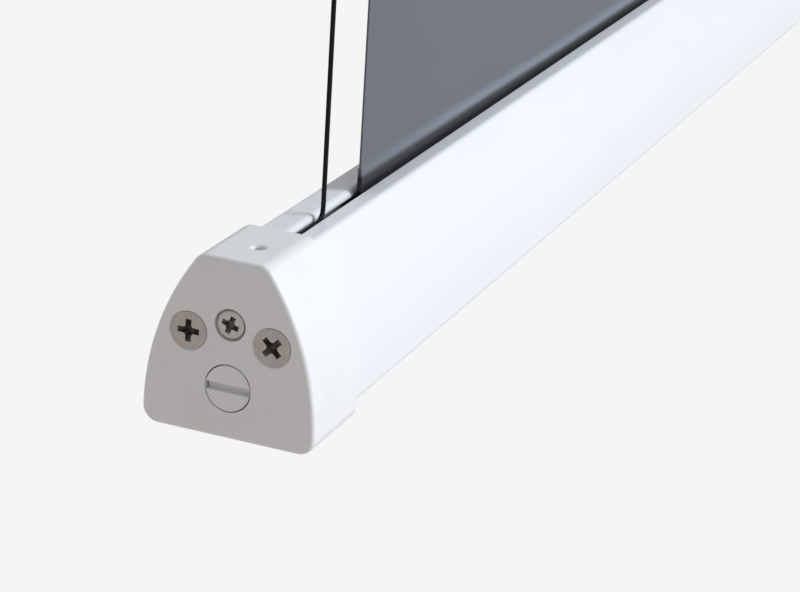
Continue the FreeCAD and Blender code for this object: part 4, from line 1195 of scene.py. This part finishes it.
@dataclass
class Screen(SubAssembly):
    """The hanging film, its welded hem and the film on the roller."""

    step: float = 12 * MM
    ripple_height: float = 0.45 * MM
    broad_folds: float = 11.0
    narrow_folds: float = 23.0
    hem_rise: float = 5.5 * MM
    hem_bore_drop: float = 5.4
    hem_loop_radius: float = 3.3
    wound_turn: float = math.radians(352)
    wound_start: float = math.radians(94)
    wound_steps: int = 96

    def __post_init__(self) -> None:
        """Reads the film's box."""
        self.low, self.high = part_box("fabric")
        self.y = (self.low.y + self.high.y) / 2
        self.half_thickness = (self.high.y - self.low.y) / 2
        self.width, self.drop = self.high.x - self.low.x, self.high.z - self.low.z

    def ripple(self, x: float, z: float) -> float:
        """How far the film stands back: slow folds that die out at the hem and the roller.

        Args:
            x: The place across the blind.
            z: The place's height.

        Returns:
            The distance from the film's plane.
        """
        drop = (self.high.z - z) / self.drop
        share = (x - self.low.x) / self.width
        broad = math.sin(self.broad_folds * share + 2.0 * drop) * math.cos(5.0 * drop + 0.7)
        fold = broad + 0.4 * math.sin(self.narrow_folds * share)
        return self.ripple_height * math.sin(math.pi * min(1.0, max(0.0, drop))) * fold

    def build(self) -> None:
        """Builds the film's pieces."""
        film = self.film()
        hem = self.hem()
        wound = self.wound()
        self.dress(Look.BLACK_PLASTIC, "fabric_keder")

    def film(self) -> bpy.types.Object:
        """The hanging film, cut square, with slow ripples."""
        columns, rows = round(self.width / self.step), round(self.drop / self.step)
        xs = [self.low.x + self.width * j / columns for j in range(columns + 1)]
        zs = [self.high.z - self.drop * i / rows for i in range(rows + 1)]
        grids = []
        for side in (-1, 1):
            y = self.y + side * self.half_thickness
            grids.append([[Vector((x, y + self.ripple(x, z), z)) for x in xs] for z in zs])
        mesh = slab_mesh("screen_film", *grids)
        film = self.add("screen_film", mesh, Look.SCREEN_FABRIC, Body.HEAD, ["fabric"])
        gather(film)
        return film

    def hem(self) -> bpy.types.Object:
        """The film's end, turned back round the hem rod and welded to itself."""
        lip = self.low.z - self.hem_rise
        neck = [(0.0, 5.5), (0.0, 5.0), (-0.12, 4.2), (-0.3, 3.4), (-0.36, 2.6), (-0.3, 1.7), (-0.22, 0.9),
                (-0.2, -0.6)]
        reach = self.hem_loop_radius
        loop = [(reach * math.cos(a), reach * math.sin(a) - self.hem_bore_drop)
                for a in map(math.radians, range(112, 430, 24))]
        flap = [(0.24, -0.6), (0.22, 0.9), (0.22, 4.4)]
        points = [Vector((self.y + y * MM, lip + z * MM, 0.0)) for y, z in neck + loop + flap]
        line = [point.to_2d() for point in smooth_line(points, 6)]
        xs = (self.low.x, self.low.x / 3, self.high.x / 3, self.high.x)
        sides = [[[Vector((x, *point)) for x in xs] for point in offset_line(line, offset)]
                 for offset in (-self.half_thickness, self.half_thickness)]
        mesh = slab_mesh("welded_hem", *sides)
        return self.add("welded_hem", mesh, Look.HEM_FILM, Body.RAIL, ["fabric_hem"])

    def wound(self) -> bpy.types.Object:
        """The film still on the roller."""
        low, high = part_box("wound_fabric")
        centre, outer = (low + high) / 2, (high.z - low.z) / 2
        xs = (low.x, low.x / 2, 0.0, high.x / 2, high.x)
        steps = self.wound_steps
        angles = [self.wound_start + self.wound_turn * i / steps for i in range(steps + 1)]
        sides = []
        for radius in (outer - 0.42 * MM, outer - 0.04 * MM):
            ring = [(centre.y + radius * math.cos(a), centre.z + radius * math.sin(a)) for a in angles]
            sides.append([[Vector((x, y, z)) for x in xs] for y, z in ring])
        mesh = slab_mesh("film_on_roller", *sides)
        return self.add("film_on_roller", mesh, Look.SCREEN_FABRIC, Body.ROLLER, ["wound_fabric"])


def gather(piece: bpy.types.Object) -> None:
    """Gives a hanging piece its own copy of its mesh.

    Args:
        piece: The hanging piece.
    """
    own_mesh(piece)


@dataclass
class SideCord(SubAssembly):
    """One tension cord, the turns it makes on its collar and the clear tabs that tie the film to it."""

    end: End
    screen: Screen
    radius: float = 0.475 * MM
    collar_edge: float = 0.4 * MM
    collar_turns: float = 2.0
    collar_pitch: float = 0.98 * MM
    tab_thickness: float = 0.45 * MM
    tab_gap: float = 0.05 * MM
    tab_lap: float = 12.5 * MM
    sleeve_radius: float = 0.82 * MM
    tab_half_film: float = 22 * MM
    tab_half_cord: float = 9 * MM
    tab_pitch: float = 200 * MM
    tab_count: int = 5
    taper: float = 1.6
    sleeve_share: float = 0.6

    def __post_init__(self) -> None:
        """Finds the cord's middle and the film's edge on this side."""
        self.middle = box_middle(self.end.named("side_cord"))
        self.film_edge = self.end.outer(self.screen.low, self.screen.high)

    def build(self) -> None:
        """Builds one side's pieces."""
        self.cord()
        self.winding()
        self.tabs()
        collar = self.end.named("cord_collar")
        self.soften(self.end.named("collar"), collar, self.collar_edge, Look.BLACK_PLASTIC, Body.ROLLER)

    def cord(self) -> None:
        """The taut cord from its collar to the bar."""
        node = self.end.named("side_cord")
        low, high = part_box(node)
        route = [Vector((self.middle.x, self.middle.y, z)) for z in (high.z, self.middle.z, low.z)]
        line = smooth_line(route, 24)
        name = self.end.named("tension_cord")
        piece = self.add(name, tube_mesh(name, line, self.radius), Look.BLACK_CORD, Body.HEAD, [node])
        gather(piece)

    def winding(self) -> None:
        """The cord's turns on the collar."""
        node = self.end.named("cord_wrap")
        low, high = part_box(node)
        start = (low + high) / 2
        start.x = self.middle.x
        pitch = self.end.value * self.collar_pitch
        line = coil_line(start, (high.z - low.z) / 2 - self.radius, pitch, self.collar_turns, 64)
        name = self.end.named("cord_on_collar")
        self.add(name, tube_mesh(name, line, self.radius), Look.BLACK_CORD, Body.ROLLER, [node])

    def tabs(self) -> None:
        """The clear tabs, each welded to the film's back and looped round the cord."""
        node = self.end.named("tension_tabs")
        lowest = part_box(node)[0].z + self.tab_half_film
        work = bmesh.new()
        for i in range(self.tab_count):
            tab = self.tab(lowest + i * self.tab_pitch)
            work.from_mesh(tab)
            bpy.data.meshes.remove(tab)
        mesh = finished_mesh("clear_tabs", work)
        piece = self.add(self.end.named("clear_tabs"), mesh, Look.CLEAR_TAB, Body.HEAD, [node])
        gather(piece)

    def tab_line(self) -> tuple[list[Vector], int]:
        """The tab's path from the film's back to round the cord, seen from above.

        Returns:
            The path's points, and the number of steps in its straight part.
        """
        out, r = self.end.value, self.sleeve_radius
        inner = self.film_edge - out * self.tab_lap
        back = self.screen.y + self.screen.half_thickness + self.tab_gap + self.tab_thickness / 2
        run = self.middle.x - out * 2.2 * r - inner
        straight = [Vector((inner + run * share, back)) for share in (0, 0.2, 0.4, 0.6, 0.8, 1)]
        loop = [Vector((self.middle.x + out * r * math.sin(a), self.middle.y + r * math.cos(a)))
                for a in map(math.radians, range(0, 325, 20))]
        return straight + loop, len(straight) - 1

    def tab(self, height: float) -> bpy.types.Mesh:
        """One tab, tapered towards the cord.

        Args:
            height: The height of its middle.

        Returns:
            Its mesh.
        """
        line, length = self.tab_line()
        grids = []
        for offset in (-self.tab_thickness / 2, self.tab_thickness / 2):
            grid = []
            for i, point in enumerate(offset_line(line, offset * self.sleeve_share)):
                share = min(1.0, i / length)
                half = self.tab_half_cord
                half += (self.tab_half_film - self.tab_half_cord) * (1 - share) ** self.taper
                zs = [height + half * (j / 4 - 1) for j in range(9)]
                grid.append([Vector((point.x, point.y + self.screen.ripple(point.x, z) * (1 - share), z))
                             for z in zs])
            grids.append(grid)
        return slab_mesh("one_tab", *grids)


@dataclass
class Cassette(SubAssembly):
    """The head's extrusion, its front cover, ends and screws, and the gland for the power lead."""

    edge: float = 0.4 * MM

    def build(self) -> None:
        """Builds the cassette's pieces."""
        edge, head = self.edge, Body.HEAD
        self.soften("cassette_profile", "cassette_housing", edge, Look.WHITE_PAINT, head)
        self.soften("cassette_front", "front_cover", edge, Look.WHITE_PAINT, head)
        for end in End:
            self.soften(end.named("case_cover"), end.named("end_cover"), edge, Look.WHITE_PLASTIC, head)
            self.soften(end.named("case_plate"), end.named("end_plate"), edge / 2, Look.ZINC_STEEL, head)
            self.soften(end.named("case_screws"), end.named("end_screws"), edge / 4, Look.SCREW_STEEL, head)
        self.soften("lead_gland", "power_inlet_gland", edge / 2, Look.BLACK_PLASTIC, head)


@dataclass
class Drive(SubAssembly):
    """The roller tube, the motor in it, the idler and the brackets that carry them."""

    edge: float = 0.35 * MM

    def build(self) -> None:
        """Builds the drive's pieces."""
        self.dress(Look.ROLLER_ALUMINIUM, "roller_tube")
        self.dress(Look.MOTOR_STEEL, "motor_tube")
        self.dress(Look.SCREW_STEEL, "motor_shaft", "idler_pin")
        self.dress(Look.BLACK_PLASTIC, "drive_wheel", "idler_bearing")
        edge = self.edge
        self.soften("motor_housing", "motor_head", edge, Look.BLACK_PLASTIC, Body.HEAD)
        self.soften("crown_wheel", "motor_crown", edge, Look.BLACK_PLASTIC, Body.ROLLER)
        self.soften("idler_end", "idler_plug", edge, Look.BLACK_PLASTIC, Body.ROLLER)
        self.soften("anchor_screws", "cord_anchor_screws", edge / 2, Look.SCREW_STEEL, Body.ROLLER)
        for side in ("motor", "idler"):
            self.soften(f"{side}_cradle", f"{side}_bracket", edge, Look.ZINC_STEEL, Body.HEAD)
        for end in End:
            rivets = end.named("bracket_rivets")
            self.soften(end.named("rivets"), rivets, edge / 2, Look.SCREW_STEEL, Body.HEAD)
        for way in ("up", "down"):
            self.soften(f"{way}_dial", f"limit_dial_{way}", edge / 2, Look.DIAL_PLASTIC, f"{way}_limit")


@dataclass
class CeilingMounts(SubAssembly):
    """The two hook brackets and their lock screws."""

    edge: float = 0.3 * MM

    def build(self) -> None:
        """Builds the brackets."""
        for end in End:
            bracket = end.named("ceiling_bracket")
            self.soften(end.named("hook_bracket"), bracket, self.edge, Look.ZINC_STEEL, Body.HEAD)
        self.soften("lock_screws", "bracket_lock_screws", self.edge / 2, Look.SCREW_STEEL, Body.HEAD)


# -------------------------------------------------------------------------------- studio
@dataclass(frozen=True)
class Lamp:
    """A broad, even lamp."""

    name: str
    source: Colour
    strength: float
    spread: float
    colour: Colour

    def build(self) -> None:
        """Hangs the lamp."""
        data = bpy.data.lights.new(self.name, "SUN")
        data.energy, data.angle, data.color = self.strength, math.radians(self.spread), self.colour
        lamp = bpy.data.objects.new(self.name, data)
        lamp.rotation_mode = "QUATERNION"
        lamp.rotation_quaternion = Vector(self.source).to_track_quat("Z", "Y")
        bpy.context.scene.collection.objects.link(lamp)


@dataclass
class Studio:
    """A pale floor, soft lamps and the camera."""

    bar: BarPlace
    floor_drop: float = 0.55
    floor_half: float = 60.0
    azimuth: float = -68.71
    elevation: float = 20.58
    roll: float = 3.67
    lens: float = 112.98
    stand: tuple[float, float, float] = (-0.3791, -0.1800, 0.1872)
    paper: Colour = (0.70, 0.64, 0.585)
    backdrop: Colour = (0.913, 0.913, 0.913)
    room_below: Colour = (0.39, 0.355, 0.32)
    room_above: Colour = (0.47, 0.485, 0.52)

    def build(self) -> None:
        """Builds the studio."""
        bpy.context.scene.view_settings.view_transform = "Standard"
        self.floor()
        self.world()
        Lamp("front_lamp", (0.42, -0.82, 0.42), 2.74, 26.0, (0.90, 0.97, 1.06)).build()
        Lamp("back_lamp", (0.35, 0.85, 0.30), 0.45, 60.0, (1.0, 0.98, 0.95)).build()
        self.camera()

    def camera(self) -> None:
        """Stands the camera in front of the bar's left end, turned a little about its own line of sight."""
        data = bpy.data.cameras.new("camera")
        data.lens = self.lens
        data.clip_start, data.clip_end = 0.01, 200.0
        camera = bpy.data.objects.new("camera", data)
        bpy.context.scene.collection.objects.link(camera)
        a, e = math.radians(self.azimuth), math.radians(self.elevation)
        back = Vector((math.sin(a) * math.cos(e), -math.cos(a) * math.cos(e), math.sin(e)))
        level = Vector((math.cos(a), math.sin(a), 0.0))
        right = Quaternion(back, math.radians(self.roll)) @ level
        turn = Matrix((right, back.cross(right), back)).transposed()
        camera.matrix_world = Matrix.Translation(self.bar.at(*self.stand)) @ turn.to_4x4()
        bpy.context.scene.camera = camera

    def floor(self) -> None:
        """Lays the floor."""
        z = CAD_BOX[0].z - self.floor_drop
        mesh = bpy.data.meshes.new("floor")
        h = self.floor_half
        mesh.from_pydata([(-h, -h, z), (h, -h, z), (h, h, z), (-h, h, z)], [], [(0, 1, 2, 3)])
        floor = bpy.data.objects.new("floor", mesh)
        bpy.context.scene.collection.objects.link(floor)
        material = bpy.data.materials.new("floor_paper")
        material.use_nodes = True
        material.node_tree.nodes.clear()
        graph = NodeGraph(material.node_tree)
        paper = graph.add("ShaderNodeBsdfDiffuse", {"Color": (*self.paper, 1.0)})
        glow = graph.add("ShaderNodeEmission", {"Color": (*self.backdrop, 1.0)})
        seen = graph.add("ShaderNodeLightPath").outputs["Is Camera Ray"]
        both = graph.add("ShaderNodeMixShader", {0: seen, 1: paper.outputs[0], 2: glow.outputs[0]})
        graph.add("ShaderNodeOutputMaterial", {"Surface": both.outputs[0]})
        mesh.materials.append(material)

    def world(self) -> None:
        """Fills the room with soft light that is stronger from above."""
        world = bpy.data.worlds.new("room")
        world.use_nodes = True
        world.node_tree.nodes.clear()
        graph = NodeGraph(world.node_tree)
        height = graph.add("ShaderNodeSeparateXYZ", {0: graph.add("ShaderNodeTexCoord").outputs["Generated"]})
        up = graph.remap(height.outputs["Z"], -1.0, 1.0, 0.0, 1.0)
        room = graph.mix(up, self.room_below, self.room_above)
        seen = graph.add("ShaderNodeLightPath").outputs["Is Camera Ray"]
        shown = graph.mix(seen, room, self.backdrop)
        back = graph.add("ShaderNodeBackground", {"Color": shown})
        graph.add("ShaderNodeOutputWorld", {"Surface": back.outputs[0]})
        bpy.context.scene.world = world


# -------------------------------------------------------------------------------- the whole blind
def main() -> None:
    """Builds the blind and the studio."""
    palette = Palette()
    places = {end: BarPlace(end) for end in End}
    Studio(places[End.LEFT]).build()
    screen = Screen(palette)
    for end in End:
        SideCord(palette, end, screen).build()
        EndCap(palette, places[end]).build()
    screen.build()
    for kind in (BottomBar, Cassette, Drive, CeilingMounts):
        kind(palette).build()


if __name__ == "__main__":
    logging.basicConfig(level=logging.INFO, format="%(message)s")
    main()
